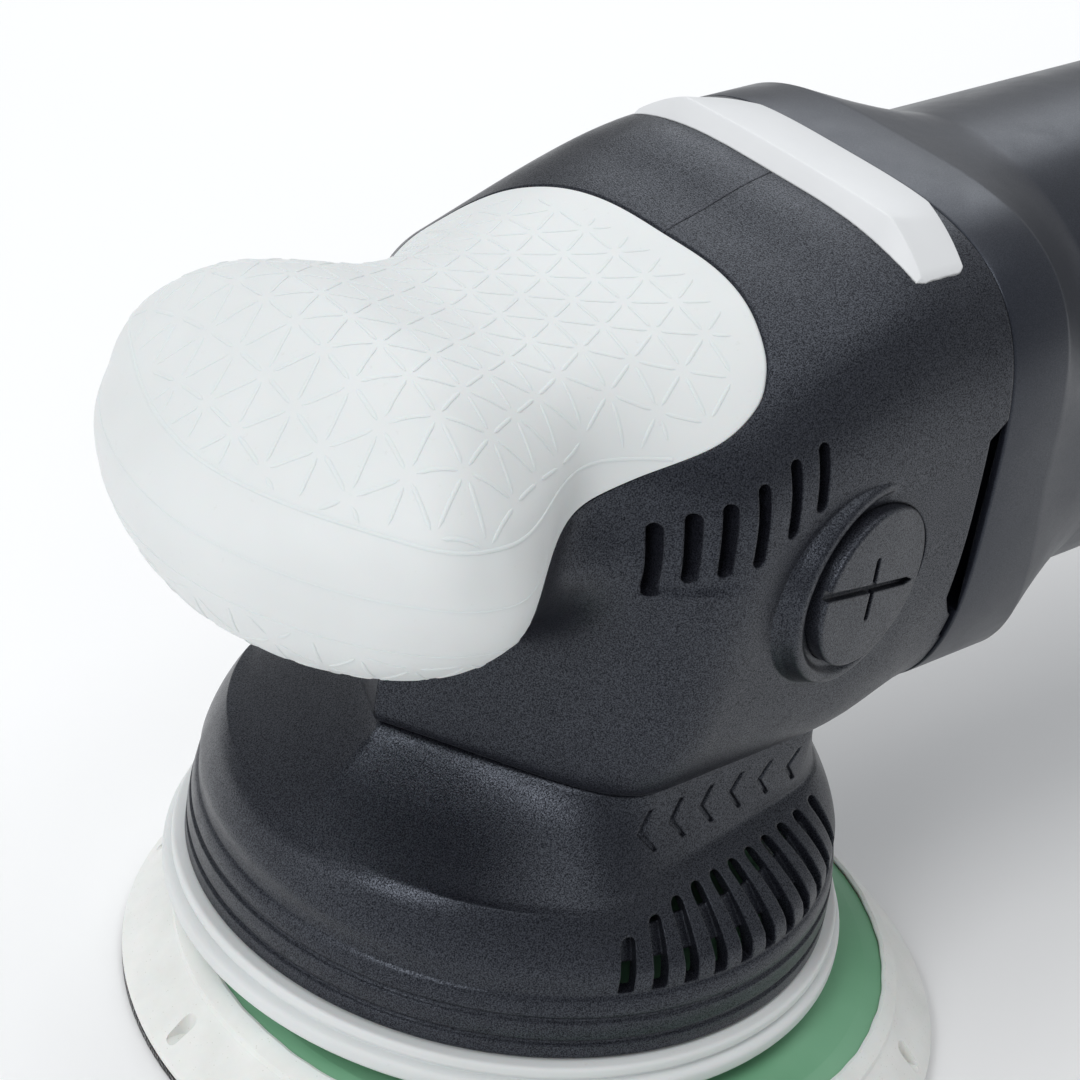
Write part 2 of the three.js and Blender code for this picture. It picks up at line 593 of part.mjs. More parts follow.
// The barrel's own section and the round motor's, as [y, z] at equally many angles.
function collarSection() {
  const row = [];
  const power = 2 / BARREL_POWER.rear;
  for (let j = 0; j < SECTION_POINTS; j++) {
    const a = (2 * Math.PI * j) / SECTION_POINTS;
    const [c, s] = [Math.cos(a), Math.sin(a)];
    const high = s > 0 ? BARREL.top - BARREL.mid : BARREL.mid - BARREL.bottom;
    const wide = BARREL.wide - (BARREL.wide - BARREL.wideLow) * clamp(-s, 0, 1);
    const across = Math.sign(c) * wide * Math.abs(c) ** power;
    row.push([across, BARREL.mid + Math.sign(s) * high * Math.abs(s) ** power]);
  }
  return row;
}

function roundSection(radius) {
  return Array.from({ length: SECTION_POINTS }, (_, j) => {
    const a = (2 * Math.PI * j) / SECTION_POINTS;
    return [radius * Math.cos(a), MOTOR_Z + radius * Math.sin(a)];
  });
}

// The collar is longer below than above, so its rear crease leans. Behind it the housing turns round.
function motorTube() {
  const [square, round] = [collarSection(), roundSection(MOTOR_R)];
  const section = (x, share, leaning) => square.map(([y, z], j) => {
    const lean = leaning * COLLAR.lean * Math.max(COLLAR.leanBelow - z, 0);
    return [x - lean, y + (round[j][0] - y) * share, z + (round[j][1] - z) * share];
  });
  const rows = [section(COLLAR.front, 0, 0), section(COLLAR.crease, 0, 1)];
  for (const t of [0.2, 0.45, 0.75, 1]) {
    rows.push(section(COLLAR.crease - COLLAR.blend * t, 1 - (1 - t) ** 2.2, 1));
  }
  return loft([...rows, section(-110, 1, 0), section(HANDLE_FRONT + 0.4, 1, 0)]);
}

const SHAFT_SEAT = 11.3; // radius of the seats for the motor's bearings
const HOUSING_WINDOWS = { count: 4, r: 6.2, away: 23 }; // air holes in the rear bulkhead

// A rod along the motor's axis, placed sideways from it.
function motorRod(radius, x0, x1, y, z, segments = 10) {
  return rod(radius, [x0, y, z], [x1, y, z], segments);
}

function motorHousing() {
  const bore = turnedX(diskProfile(MOTOR_BORE, -40, -210), 28);
  const bulkhead = turnedX(ringProfile(SHAFT_SEAT, MOTOR_R - 1, -196, -192), 18);
  const bearingHub = turnedX(ringProfile(SHAFT_SEAT, 14, -196, -186.6), 20);
  const windows = [];
  for (let i = 0; i < HOUSING_WINDOWS.count; i++) {
    const a = (2 * Math.PI * (i + 0.5)) / HOUSING_WINDOWS.count;
    const [y, z] = [HOUSING_WINDOWS.away * Math.cos(a), MOTOR_Z + HOUSING_WINDOWS.away * Math.sin(a)];
    windows.push(motorRod(HOUSING_WINDOWS.r, -198, -184, y, z));
  }
  const front = block(-52, COLLAR.front, -40, 40, 54, 126).intersect(motorTube());
  const frontRoom = turnedX(diskProfile(24, -60, -40), 18);
  const capHoles = [1, -1].map((side) => rod(
    8.4, [BRUSH_X, side * 28, MOTOR_Z], [BRUSH_X, side * 42, MOTOR_Z], 20));
  const screwHoles = HEAD_SCREWS.map(([y, z]) => motorRod(2.3, -60, -40, y, z));
  const rearWall = cut(union(bulkhead, bearingHub), ...windows);
  const walls = union(cut(motorTube(), bore), cut(front, frontRoom), rearWall);
  const rearSeat = turnedX(diskProfile(SHAFT_SEAT - 0.1, -200, -180), 18);
  piece("motor_housing", cut(walls, ...capHoles, ...screwHoles, rearSeat, ...motorVents()), SLATE());
  HEAD_SCREWS.forEach(([y, z], i) => {
    const head = motorRod(2.9, -55.6, -52.3, y, z);
    const shank = motorRod(1.9, -53, -39.5, y, z);
    piece(`head_screw_${i + 1}`, union(head, shank), DARK_STEEL());
  });
}

// Upright slots on both sides of the motor's rear end.
const MOTOR_VENTS = { count: 4, first: -176, pitch: 4.6, half: 1.1, tall: 13 };

function motorVents() {
  const slots = [];
  for (const side of [1, -1]) {
    for (let i = 0; i < MOTOR_VENTS.count; i++) {
      const x = MOTOR_VENTS.first - MOTOR_VENTS.pitch * i;
      slots.push(block(x - MOTOR_VENTS.half, x + MOTOR_VENTS.half, ...span(side, 25, 45),
        MOTOR_Z - MOTOR_VENTS.tall, MOTOR_Z + MOTOR_VENTS.tall));
    }
  }
  return slots;
}

function armature() {
  const shaft = [[0, -14.4], [1.8, -14.4], [1.8, -22], [SHAFT_R, -22], [SHAFT_R, -196], [0, -196]];
  piece("armature_shaft", turnedX(shaft, 20), STEEL());
  const slotted = new THREE.Shape();
  const poles = 12;
  for (let i = 0; i < poles; i++) {
    const at = (share, r) => [r * Math.cos(((i + share) * 2 * Math.PI) / poles),
      r * Math.sin(((i + share) * 2 * Math.PI) / poles)];
    [[0, 20], [0.35, 20], [0.7, 20], [0.78, 14], [0.92, 14]].forEach(([share, r], k) => {
      if (i === 0 && k === 0) slotted.moveTo(...at(share, r));
      else slotted.lineTo(...at(share, r));
    });
  }
  slotted.closePath();
  const hole = new THREE.Path();
  hole.absarc(0, 0, SHAFT_R + GAP, 0, 2 * Math.PI, true);
  slotted.holes.push(hole);
  const depth = STACK.front - STACK.rear - 2;
  const stack = new THREE.ExtrudeGeometry(slotted, { depth, bevelEnabled: false, curveSegments: 10 });
  stack.rotateY(Math.PI / 2);
  stack.translate(STACK.rear + 1, 0, MOTOR_Z);
  piece("armature_core", solidOf(stack), DARK_STEEL());
  const inner = SHAFT_R + GAP;
  const from = STACK.front - 0.7;
  const turns = [[inner, from], [14.4, from], [14.4, from + 6], [9, from + 9], [inner, from + 9]];
  piece("winding_front", turnedX(turns, 18), COPPER());
  piece("commutator", turnedX(ringProfile(SHAFT_R + GAP, 12, -161, -145), 18), COPPER());
  piece("cooling_fan", coolingFan(), AMBER_PLASTIC());
  piece("pinion", pinion(), STEEL());
}

const FAN_BLADES = 10;

function coolingFan() {
  const plate = turnedX(ringProfile(SHAFT_R + GAP, 30, -69.2, -67.6), 18);
  const hub = turnedX(ringProfile(SHAFT_R + GAP, 9, -69.2, -60), 18);
  const blades = [];
  for (let i = 0; i < FAN_BLADES; i++) {
    const blade = new THREE.BoxGeometry(9, 1.4, 18);
    blade.translate(-63.6, 0, 20);
    blade.rotateX((2 * Math.PI * i) / FAN_BLADES);
    blade.translate(0, 0, MOTOR_Z);
    blades.push(solidOf(blade));
  }
  return union(plate, hub, ...blades);
}

function field() {
  const ring = turnedX(ringProfile(28, MOTOR_BORE - GAP, STACK.rear, STACK.front), 28);
  const poles = block(STACK.rear, STACK.front, -13.8, 13.8, MOTOR_Z - 29, MOTOR_Z + 29);
  const bore = turnedX(diskProfile(21, STACK.rear - 5, STACK.front + 5), 28);
  piece("field_stator", union(ring, cut(poles, bore)), DARK_STEEL());
  for (const [name, side] of [["field_coil_upper", 1], ["field_coil_lower", -1]]) {
    const [z0, z1] = side > 0 ? [15.4, 18.4] : [-18.4, -15.4];
    const outer = block(STACK.rear - 8, STACK.front + 10, -20.4, 20.4, MOTOR_Z + z0, MOTOR_Z + z1);
    const inner = block(STACK.rear - 0.4, STACK.front + 0.4, -14.2, 14.2, MOTOR_Z - 30, MOTOR_Z + 30);
    piece(name, cut(outer, inner), COPPER());
  }
  const skirt = MOTOR_BORE - GAP;
  const baffle = [[20, -72.4], [skirt, -72.4], [skirt, -58], [31.6, -58], [31.6, -70.8], [20, -70.8]];
  piece("fan_baffle", turnedX(baffle, 28), BLACK());
}

// A block round a brush: half its length along the motor, its reach from the axis, half its height.
function brushBlock(side, long, inner, outer, high) {
  return block(BRUSH_X - long, BRUSH_X + long, ...span(side, inner, outer), MOTOR_Z - high, MOTOR_Z + high);
}

function brushes() {
  for (const [tag, side] of [["left", 1], ["right", -1]]) {
    const holder = cut(brushBlock(side, 6.4, 14.4, 31.6, 5), brushBlock(side, 4.4, 10, 40, 3.2));
    piece(`brush_holder_${tag}`, holder, BRASS());
    piece(`carbon_brush_${tag}`, brushBlock(side, 4.1, 12.3, 18, 2.9), GRAPHITE());
    const cap = rod(8, [BRUSH_X, side * 32, MOTOR_Z], [BRUSH_X, side * 38, MOTOR_Z], 20);
    piece(`brush_cap_${tag}`, cut(cap, brushBlock(side, 5.5, 36.4, 40, 0.9)), BLACK());
  }
}

// ---------------------------------------------------------------- rear handle
const HANDLE_STATIONS = [[HANDLE_FRONT, 36.8, 36.8, 89.2], [-212, 35.4, 35.6, 89], [-226, 30.2, 32, 88.5],
  [-245, 26.6, 29.6, 88], [-275, 26, 29, 87.5], [-300, 27.4, 30.4, 87.5], [-317, 28.6, 31, 87.5],
  [HANDLE_REAR, 26.4, 28.8, 87.5]]; // x, half width, half height, height of the middle
const HANDLE_SCREWS = [[-217, 106], [-262, 106], [-314, 68]]; // x and z of each
const TRIGGER = { front: -232, rear: -288, pivotX: -235, pivotZ: 66, wide: 8 };
const LOCK = { x: -232, z: 84, r: 4.6 };
const DIAL = { x: -299, z: 108.6, r: 12, wide: 3.2 };

const HANDLE_Z = 87.5; // height of the handle's middle at its rear end
const HANDLE_COLUMNS = 22;

// The handle's surface moved inwards by inset. A hollow keeps back from both ends.
function handleLoft(inset) {
  const last = HANDLE_STATIONS.length - 1;
  return loft(HANDLE_STATIONS.map(([x, wide, high, mid], i) => {
    let station = x;
    if (inset > 0 && i === 0) station += 2;
    if (inset > 0 && i === last) station += 3;
    const row = [];
    for (let j = 0; j < HANDLE_COLUMNS; j++) {
      const a = (2 * Math.PI * (j + 0.5)) / HANDLE_COLUMNS;
      row.push([station, (wide - inset) * Math.cos(a), mid + (high - inset) * Math.sin(a)]);
    }
    return row;
  }));
}

function handleOpenings() {
  const { front, rear, wide } = TRIGGER;
  const [slot, room] = [wide + 0.6, DIAL.r - 0.5];
  return [
    block(rear - 2.6, front + 0.8, -slot, slot, 50, 70),
    rod(LOCK.r + 0.4, [LOCK.x, 15, LOCK.z], [LOCK.x, 40, LOCK.z], 20),
    block(DIAL.x - room, DIAL.x + room, -DIAL.wide - 0.5, DIAL.wide + 0.5, 105, 130),
    rod(8.3, [HANDLE_REAR - 5, 0, HANDLE_Z], [HANDLE_REAR + 10, 0, HANDLE_Z], 20),
  ];
}

// A screw runs from a deep recess in the right shell into a blind hole in the left.
function screwBore(side, x, z) {
  const across = (radius, y0, y1, segments) => rod(radius, [x, y0, z], [x, y1, z], segments);
  if (side > 0) return across(2.1, -1, 16, 8);
  return union(across(2.1, 1, -40, 8), across(3.8, -9, -40, 10));
}

function handleShells() {
  const hollow = cut(handleLoft(0), handleLoft(WALL));
  const skin = handleLoft(0.8);
  for (const [name, side] of [["handle_shell_left", 1], ["handle_shell_right", -1]]) {
    const near = (side * GAP) / 2;
    const half = block(-340, -200, ...span(side, GAP / 2, 60), 40, 140);
    const bosses = HANDLE_SCREWS.map(([x, z]) => rod(4.4, [x, near, z], [x, side * 34, z], 10));
    const bores = HANDLE_SCREWS.map(([x, z]) => screwBore(side, x, z));
    const inside = bosses.map((boss) => boss.intersect(skin));
    piece(name, cut(union(hollow.intersect(half), ...inside), ...handleOpenings(), ...bores), SLATE());
  }
  HANDLE_SCREWS.forEach(([x, z], i) => {
    const screw = union(rod(3.4, [x, -9.3, z], [x, -11.8, z], 10), rod(1.8, [x, -10, z], [x, 13, z], 8));
    piece(`handle_screw_${i + 1}`, screw, DARK_STEEL());
  });
}

// A paddle under the handle, which turns about a pin at its front end.
function trigger() {
  const { front, rear, wide, pivotX, pivotZ } = TRIGGER;
  const paddle = new THREE.Shape();
  paddle.moveTo(front, 69);
  paddle.lineTo(front, 61.5);
  paddle.quadraticCurveTo(-240, 55.5, -252, 53.6);
  paddle.quadraticCurveTo(-272, 51.6, rear, 54);
  paddle.lineTo(rear, 60.4);
  paddle.quadraticCurveTo(-262, 60, -243, 69);
  paddle.closePath();
  const solid = new THREE.ExtrudeGeometry(
    paddle, { depth: 2 * wide, bevelEnabled: false, curveSegments: 6 });
  solid.rotateX(Math.PI / 2);
  solid.translate(0, wide, 0);
  const pinHole = rod(1.9, [pivotX, -20, pivotZ], [pivotX, 20, pivotZ], 14);
  piece("trigger", cut(solidOf(solid), pinHole), BLACK());
  piece("trigger_pin", rod(1.5, [pivotX, -12, pivotZ], [pivotX, 12, pivotZ], 10), STEEL());
}

function handleParts() {
  piece("lock_button", rod(LOCK.r, [LOCK.x, 14, LOCK.z], [LOCK.x, 31.6, LOCK.z], 20), BLACK());
  piece("switch_body", block(-258, -224, -9, 9, 74, 98), BLACK());
  piece("speed_dial", dial(), BLACK());
  piece("speed_module", block(-306, -270, -11, 11, 74, 93), BOARD());
  const start = HANDLE_REAR - 3;
  const gland = [[4.4, start], [8, start], [8, start + 6.4], [10.4, start + 6.4], [10.4, start + 10],
    [4.4, start + 10]];
  piece("cord_gland", turnedX(gland, 20).translate([0, 0, HANDLE_Z - MOTOR_Z]), BLACK());
}

// A thumb wheel with a notched edge, on an axis along Y.
function dial() {
  const notches = 20;
  const wheel = new THREE.Shape();
  for (let i = 0; i < 2 * notches; i++) {
    const a = (Math.PI * (i + 0.5)) / notches;
    const r = Math.floor(i / 2) % 2 ? DIAL.r : DIAL.r - 0.7;
    if (i === 0) wheel.moveTo(r * Math.cos(a), r * Math.sin(a));
    else wheel.lineTo(r * Math.cos(a), r * Math.sin(a));
  }
  wheel.closePath();
  const solid = new THREE.ExtrudeGeometry(wheel, { depth: 2 * DIAL.wide, bevelEnabled: false });
  solid.rotateX(Math.PI / 2);
  solid.translate(DIAL.x, DIAL.wide, DIAL.z);
  return solidOf(solid);
}

headCovers();
accentStrip();
bossPlugs();
shroud();
bumperRing();
pad();
spindle();
piece("crown_gear", crownGear(), STEEL());
gearbox();
bearings();
motorHousing();
armature();
field();
brushes();
handleShells();
trigger();
handleParts();

export default polisher;
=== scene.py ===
import functools
import math

import bmesh
import bpy
import numpy as np
from mathutils import Matrix, Vector


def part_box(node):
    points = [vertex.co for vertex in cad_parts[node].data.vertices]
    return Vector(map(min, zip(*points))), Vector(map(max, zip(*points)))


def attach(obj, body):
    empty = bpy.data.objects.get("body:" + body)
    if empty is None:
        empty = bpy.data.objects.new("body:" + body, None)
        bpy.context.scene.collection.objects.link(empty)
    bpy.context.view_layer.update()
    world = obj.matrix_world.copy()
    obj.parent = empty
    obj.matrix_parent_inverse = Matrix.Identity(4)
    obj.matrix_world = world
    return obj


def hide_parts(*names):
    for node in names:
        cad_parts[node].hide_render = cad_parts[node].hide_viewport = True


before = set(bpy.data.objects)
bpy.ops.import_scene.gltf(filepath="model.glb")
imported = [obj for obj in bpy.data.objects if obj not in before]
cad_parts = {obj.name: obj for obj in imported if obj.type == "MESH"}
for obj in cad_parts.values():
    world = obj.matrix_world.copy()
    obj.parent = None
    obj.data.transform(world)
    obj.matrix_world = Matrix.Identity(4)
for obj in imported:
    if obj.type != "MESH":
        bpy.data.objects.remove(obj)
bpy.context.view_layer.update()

MM = 0.001
SIDES = (("left", 1), ("right", -1))
scene = bpy.context.scene


# ---------------------------- dimensions taken from the frame
def box_mm(node):
    low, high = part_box(node)
    return np.array(low) / MM, np.array(high) / MM


def middle(node):
    low, high = box_mm(node)
    return (low + high) / 2


def radius_of(node):
    low, high = box_mm(node)
    return (high - low)[0] / 2


HEAD_REAR, _, RIM_Z = box_mm("head_cover_left")[0]  # the rim is the head's lower edge
MOTOR_Z = middle("armature_core")[2]
(_, _, FOAM_Z), (_, _, FOAM_TOP) = box_mm("pad_foam")
ORBIT = middle("pad_foam")[:2]  # the pad's own axis at rest
PAD_R = radius_of("pad_foam")
(_, _, SEAT), (_, _, DISC_TOP) = box_mm("backing_disc")  # the disc's underside sits in the foam
DISC_R = radius_of("backing_disc")
SKIRT_BOTTOM = box_mm("shroud")[0][2]
HANDLE_LOW, HANDLE_HIGH = box_mm("handle_shell_left")
BOSS_Z = middle("boss_plug_left")[2]
BRUSH_X = middle("brush_cap_left")[0]
TRIGGER_LOW, TRIGGER_HIGH = box_mm("trigger")

# Dimensions that several pieces share.
WALL = 2.8
GRIP_SKIN = 2.5
GAP = 0.3
SEAM = 0.05  # from the middle plane to the edge of each half shell


# ---------------------------- solids
def link_object(name, data):
    obj = bpy.data.objects.new(name, data)
    scene.collection.objects.link(obj)
    return obj


def mesh_object(verts, faces):
    mesh = bpy.data.meshes.new("solid")
    mesh.from_pydata((np.asarray(verts, float) * MM).tolist(), [], faces)
    form = bmesh.new()
    form.from_mesh(mesh)
    bmesh.ops.recalc_face_normals(form, faces=form.faces)
    form.to_mesh(mesh)
    form.free()
    return link_object("solid", mesh)


def copied(obj):
    return link_object("solid", obj.data.copy())


def discard(obj):
    mesh = obj.data
    bpy.data.objects.remove(obj)
    bpy.data.meshes.remove(mesh)


def boolean(obj, tool, operation):
    modifier = obj.modifiers.new("boolean", "BOOLEAN")
    modifier.solver = "MANIFOLD"
    modifier.operation = operation
    modifier.object = tool
    depsgraph = bpy.context.evaluated_depsgraph_get()
    result = bpy.data.meshes.new_from_object(obj.evaluated_get(depsgraph))
    obj.modifiers.clear()
    old = obj.data
    obj.data = result
    bpy.data.meshes.remove(old)
    discard(tool)
    return obj


def cut(obj, *tools):
    for tool in tools:
        boolean(obj, tool, "DIFFERENCE")
    return obj


def union(obj, tool):
    return boolean(obj, tool, "UNION")


def common(obj, tool):
    return boolean(obj, tool, "INTERSECT")


def together(objects):
    """One object from several that don't touch."""
    form = bmesh.new()
    for obj in objects:
        form.from_mesh(obj.data)
    mesh = bpy.data.meshes.new("together")
    form.to_mesh(mesh)
    form.free()
    for obj in objects:
        discard(obj)
    return link_object("together", mesh)


def around(count):
    """Angles all the way round."""
    return np.linspace(0, 2 * math.pi, count, endpoint=False)


def polar(radii, angles, heights):
    return np.stack([radii * np.cos(angles), radii * np.sin(angles), 0 * angles + heights], -1)


def grid_faces(rows, columns, wrap_rows=False):
    faces = []
    for i in range(rows if wrap_rows else rows - 1):
        for j in range(columns):
            a, b = i * columns + j, i * columns + (j + 1) % columns
            k = ((i + 1) % rows) * columns
            faces.append((a, b, k + (j + 1) % columns, k + j))
    return faces


def loft(rows):
    """Rows of equally many points, each a closed outline, with a fan over each end."""
    rows = np.asarray(rows, float)
    count = rows.shape[1]
    total = len(rows) * count
    faces = grid_faces(len(rows), count)
    for first, centre in ((0, total), (total - count, total + 1)):
        faces += [(first + j, first + (j + 1) % count, centre) for j in range(count)]
    return mesh_object(np.concatenate([rows.reshape(-1, 3), [rows[0].mean(0), rows[-1].mean(0)]]), faces)


def ring_loft(rows):
    """Rows that close on themselves both ways, as the skin of a ring."""
    rows = np.asarray(rows, float)
    return mesh_object(rows.reshape(-1, 3), grid_faces(len(rows), rows.shape[1], True))


def capped(rows):
    """Two closed outlines joined by walls, with one flat face over each end."""
    count = len(rows[0])
    ends = [tuple(range(count)), tuple(range(2 * count - 1, count - 1, -1))]
    return mesh_object(np.concatenate(rows), grid_faces(2, count) + ends)


def block(x0, x1, y0, y1, z0, z1):
    corners = [(x, y, z) for x in (x0, x1) for y in (y0, y1) for z in (z0, z1)]
    faces = [(0, 1, 3, 2), (4, 6, 7, 5), (0, 4, 5, 1), (2, 3, 7, 6), (0, 2, 6, 4), (1, 5, 7, 3)]
    return mesh_object(corners, faces)


def rounded(outline, steps=4):
    """Corners (x, y, radius) of a closed outline, each turned into an arc."""
    points = []
    count = len(outline)
    for i, (x, y, radius) in enumerate(outline):
        here = np.array([x, y], float)
        if radius <= 0:
            points.append(here)
            continue
        sides = [np.array(outline[(i + k) % count][:2], float) - here for k in (-1, 1)]
        lengths = [np.linalg.norm(side) for side in sides]
        units = [side / length for side, length in zip(sides, lengths)]
        half = math.acos(np.clip(np.dot(*units), -1, 1)) / 2
        back = min(radius / math.tan(half), 0.48 * min(lengths))
        start, end = here + units[0] * back, here + units[1] * back
        for k in range(steps + 1):
            t = k / steps
            points.append((1 - t) ** 2 * start + 2 * t * (1 - t) * here + t * t * end)
    return points


def turned(corners, segments, origin=(0, 0, 0), axis=(0, 0, 1), steps=4):
    """A turned solid about an axis, from the corners (radius, height, rounding) of its section."""
    along = Vector(axis).normalized().to_track_quat("Z", "Y").to_matrix().to_4x4()
    place = np.array(Matrix.Translation(origin) @ along)
    profile = rounded(corners, steps)
    verts, index = [], []
    for radius, height in profile:
        if radius < 1e-6:  # a point on the axis
            index.append([len(verts)] * segments)
            verts.append((0, 0, height))
        else:
            index.append(list(range(len(verts), len(verts) + segments)))
            verts += [(radius * math.cos(a), radius * math.sin(a), height) for a in around(segments)]
    faces = []
    for i in range(len(profile)):
        low, high = index[i], index[(i + 1) % len(profile)]
        for j in range(segments):
            k = (j + 1) % segments
            face = list(dict.fromkeys((low[j], low[k], high[k], high[j])))
            if len(face) > 2:
                faces.append(tuple(face))
    return mesh_object(np.asarray(verts) @ place[:3, :3].T + place[:3, 3], faces)


def disk(radius, low, high, soft=0.0):
    """The corners of a disk's section, its outer edges softened."""
    return [(0, low, 0), (radius, low, soft), (radius, high, soft), (0, high, 0)]


def rod(radius, start, end, segments):
    along = np.subtract(end, start)
    return turned(disk(radius, 0, float(np.linalg.norm(along))), segments, start, along)


def oblong(x0, x1, y0, y1, soft):
    return [(x0, y0, soft), (x1, y0, soft), (x1, y1, soft), (x0, y1, soft)]


def stadium(u, low, high, width):
    """A slot's outline, upright about u from low to high."""
    r = width / 2
    turns = np.linspace(0, math.pi, 8)
    top = [(u + r * math.cos(a), high - r + r * math.sin(a)) for a in turns]
    return top + [(u - r * math.cos(a), low + r - r * math.sin(a)) for a in turns]


def prism(outline, axis, low, high):
    """A plane outline of (u, v) pushed along axis x, y or z."""
    order = {"x": (2, 0, 1), "y": (0, 2, 1), "z": (0, 1, 2)}[axis]
    return capped([[[(u, v, w)[k] for k in order] for u, v in outline] for w in (low, high)])


def plate(corners, axis, low, high, steps=4):
    return prism(rounded(corners, steps), axis, low, high)


def span(side, near, far):
    """Both limits across the tool of something from near to far out, on the left (1) or right (-1)."""
    return (near, far) if side > 0 else (-far, -near)


# ---------------------------- the head's outer surface
def smoothstep(x, low, high):
    t = np.clip((x - low) / (high - low), 0, 1)
    return t * t * (3 - 2 * t)


def blend(a, b, k):
    """The smaller of two fields, with a soft fillet where they meet."""
    h = np.clip(0.5 + 0.5 * (b - a) / k, 0, 1)
    return b + (a - b) * h - k * h * (1 - h)


def super_ellipse(power, *terms):
    return sum(np.abs(term) ** power for term in terms) ** (1 / power)


# The barrel over the gears: a section like a rounded box, which narrows a little downwards and falls to the front.
BARREL_MID, BARREL_TOP, BARREL_DROP, BARREL_BOTTOM = 91.0, 129.0, 19.5, 50.0
BARREL_FALL = (-34, 30)  # where along X the top falls
BARREL_WIDE, BARREL_WIDE_LOW, BARREL_WIDE_OVER = 39.6, 38.6, 25
BARREL_POWER, BARREL_FULLER = 3.5, 5.2  # roundness of its section at the rear, and below at the front
BARREL_FILLS = (-44, -20)  # where along X it grows fuller
FRONT_X, FRONT_SLOPE = 32.2, math.radians(27.7)  # its front is a blunt wedge
FRONT_SOFT, FRONT_SOFTER, FRONT_SOFTENS = 6, 3, (55, 80)
# The waist between the barrel and the nose.
WAIST_X, WAIST_Z, WAIST_WIDE, WAIST_WIDE_UP, WAIST_DOWN, WAIST_UP = 19.0, 97.5, 28.5, 25.7, 19.0, 22.5
WAIST_HALF, WAIST_LONGER, WAIST_GROWS, WAIST_NARROWS, WAIST_END = 19.0, 12.0, (90, 106), (92, 104), 6
WAIST_POWER_UP, WAIST_POWER_DOWN = 3.6, 2.4
# The nose, which the front hand holds.
NOSE_X, NOSE_Z, NOSE_FRONT, NOSE_REAR, NOSE_WIDE = 48.0, 99.2, 26.5, 18.5, 38.8
NOSE_UP, NOSE_DOWN, NOSE_SCALE, NOSE_POWER = 20.6, 22.4, 23.4, 1.78
# How softly waist and nose run into the barrel.
WAIST_FILLET, NOSE_FILLET, NOSE_FILLET_MORE, NOSE_FILLET_GROWS = 8, 10, 7.7, (96, 112)


def barrel(x, y, z):
    top = BARREL_TOP - BARREL_DROP * smoothstep(x, *BARREL_FALL)
    high = np.where(z > BARREL_MID, top - BARREL_MID, BARREL_MID - BARREL_BOTTOM)
    wide = BARREL_WIDE - (BARREL_WIDE - BARREL_WIDE_LOW) * smoothstep(BARREL_MID - z, 0, BARREL_WIDE_OVER)
    fuller = BARREL_POWER + (BARREL_FULLER - BARREL_POWER) * smoothstep(x, *BARREL_FILLS)
    power = np.where(z > BARREL_MID, BARREL_POWER, fuller)
    tube = (super_ellipse(power, y / wide, (z - BARREL_MID) / high) - 1) * np.minimum(wide, high)
    front = (x - FRONT_X) * math.cos(FRONT_SLOPE) + np.abs(y) * math.sin(FRONT_SLOPE)
    return -blend(-tube, -front, FRONT_SOFT + FRONT_SOFTER * smoothstep(z, *FRONT_SOFTENS))


def waist(x, y, z):
    high = np.where(z > WAIST_Z, WAIST_UP, WAIST_DOWN)
    power = np.where(z > WAIST_Z, WAIST_POWER_UP, WAIST_POWER_DOWN)
    wide = WAIST_WIDE + (WAIST_WIDE_UP - WAIST_WIDE) * smoothstep(z, *WAIST_NARROWS)
    tube = (super_ellipse(power, y / wide, (z - WAIST_Z) / high) - 1) * WAIST_DOWN
    long = WAIST_HALF + WAIST_LONGER * smoothstep(z, *WAIST_GROWS)
    return -blend(-tube, -(np.abs(x - WAIST_X) - long), WAIST_END)


def nose(x, y, z):
    long = np.where(x > NOSE_X, NOSE_FRONT, NOSE_REAR)
    high = np.where(z > NOSE_Z, NOSE_UP, NOSE_DOWN)
    pod = super_ellipse(NOSE_POWER, (x - NOSE_X) / long, y / NOSE_WIDE, (z - NOSE_Z) / high)
    return (pod - 1) * NOSE_SCALE


def head_field(x, y, z):
    """Negative inside the head, zero on its surface, about the distance to it elsewhere."""
    body = blend(barrel(x, y, z), waist(x, y, z), WAIST_FILLET)
    return blend(body, nose(x, y, z), NOSE_FILLET + NOSE_FILLET_MORE * smoothstep(z, *NOSE_FILLET_GROWS))


def last_inside(outside, near, far):
    """The furthest place between near and far that isn't outside, found by halving."""
    for _ in range(36):
        halfway = (near + far) / 2
        out = outside(halfway)
        far, near = np.where(out, halfway, far), np.where(out, near, halfway)
    return near


HEAD_CENTRE = np.array([14.0, 0.0, 96.0])  # every point of the head's surface is in sight of it
NEAREST, FURTHEST = 2.0, 110.0  # how far from it the surface may be


def reach(origins, directions, offset=0.0):
    """Where rays from inside the head come to its surface moved outwards by offset."""
    origins = np.broadcast_to(np.asarray(origins, float), directions.shape)

    def outside(r):
        return head_field(*np.moveaxis(origins + r[..., None] * directions, -1, 0)) > offset

    shape = directions.shape[:-1]
    r = last_inside(outside, np.full(shape, NEAREST), np.full(shape, FURTHEST))
    return origins + r[..., None] * directions


def direction(alpha, phi):
    """Turned from +X by alpha, towards the compass angle phi from +Y up to +Z."""
    return np.stack([np.cos(alpha), np.sin(alpha) * np.cos(phi), np.sin(alpha) * np.sin(phi)], -1)


def outward(points):
    """Unit normals of the head's surface."""
    normals = np.stack([head_field(*np.moveaxis(points + step, -1, 0)) -
                        head_field(*np.moveaxis(points - step, -1, 0)) for step in 0.05 * np.eye(3)], -1)
    return normals / np.linalg.norm(normals, axis=-1, keepdims=True)


def level_row(z, angles, offset=0.0):
    return reach((HEAD_CENTRE[0], HEAD_CENTRE[1], z), polar(1, angles, 0), offset)


LIP_HIGH, LIP_INSET = 2.2, 1.1  # the rim turns in over this height, by this much
LIP_ROWS = (0, 0.08, 0.2, 0.4, 0.65, 1)


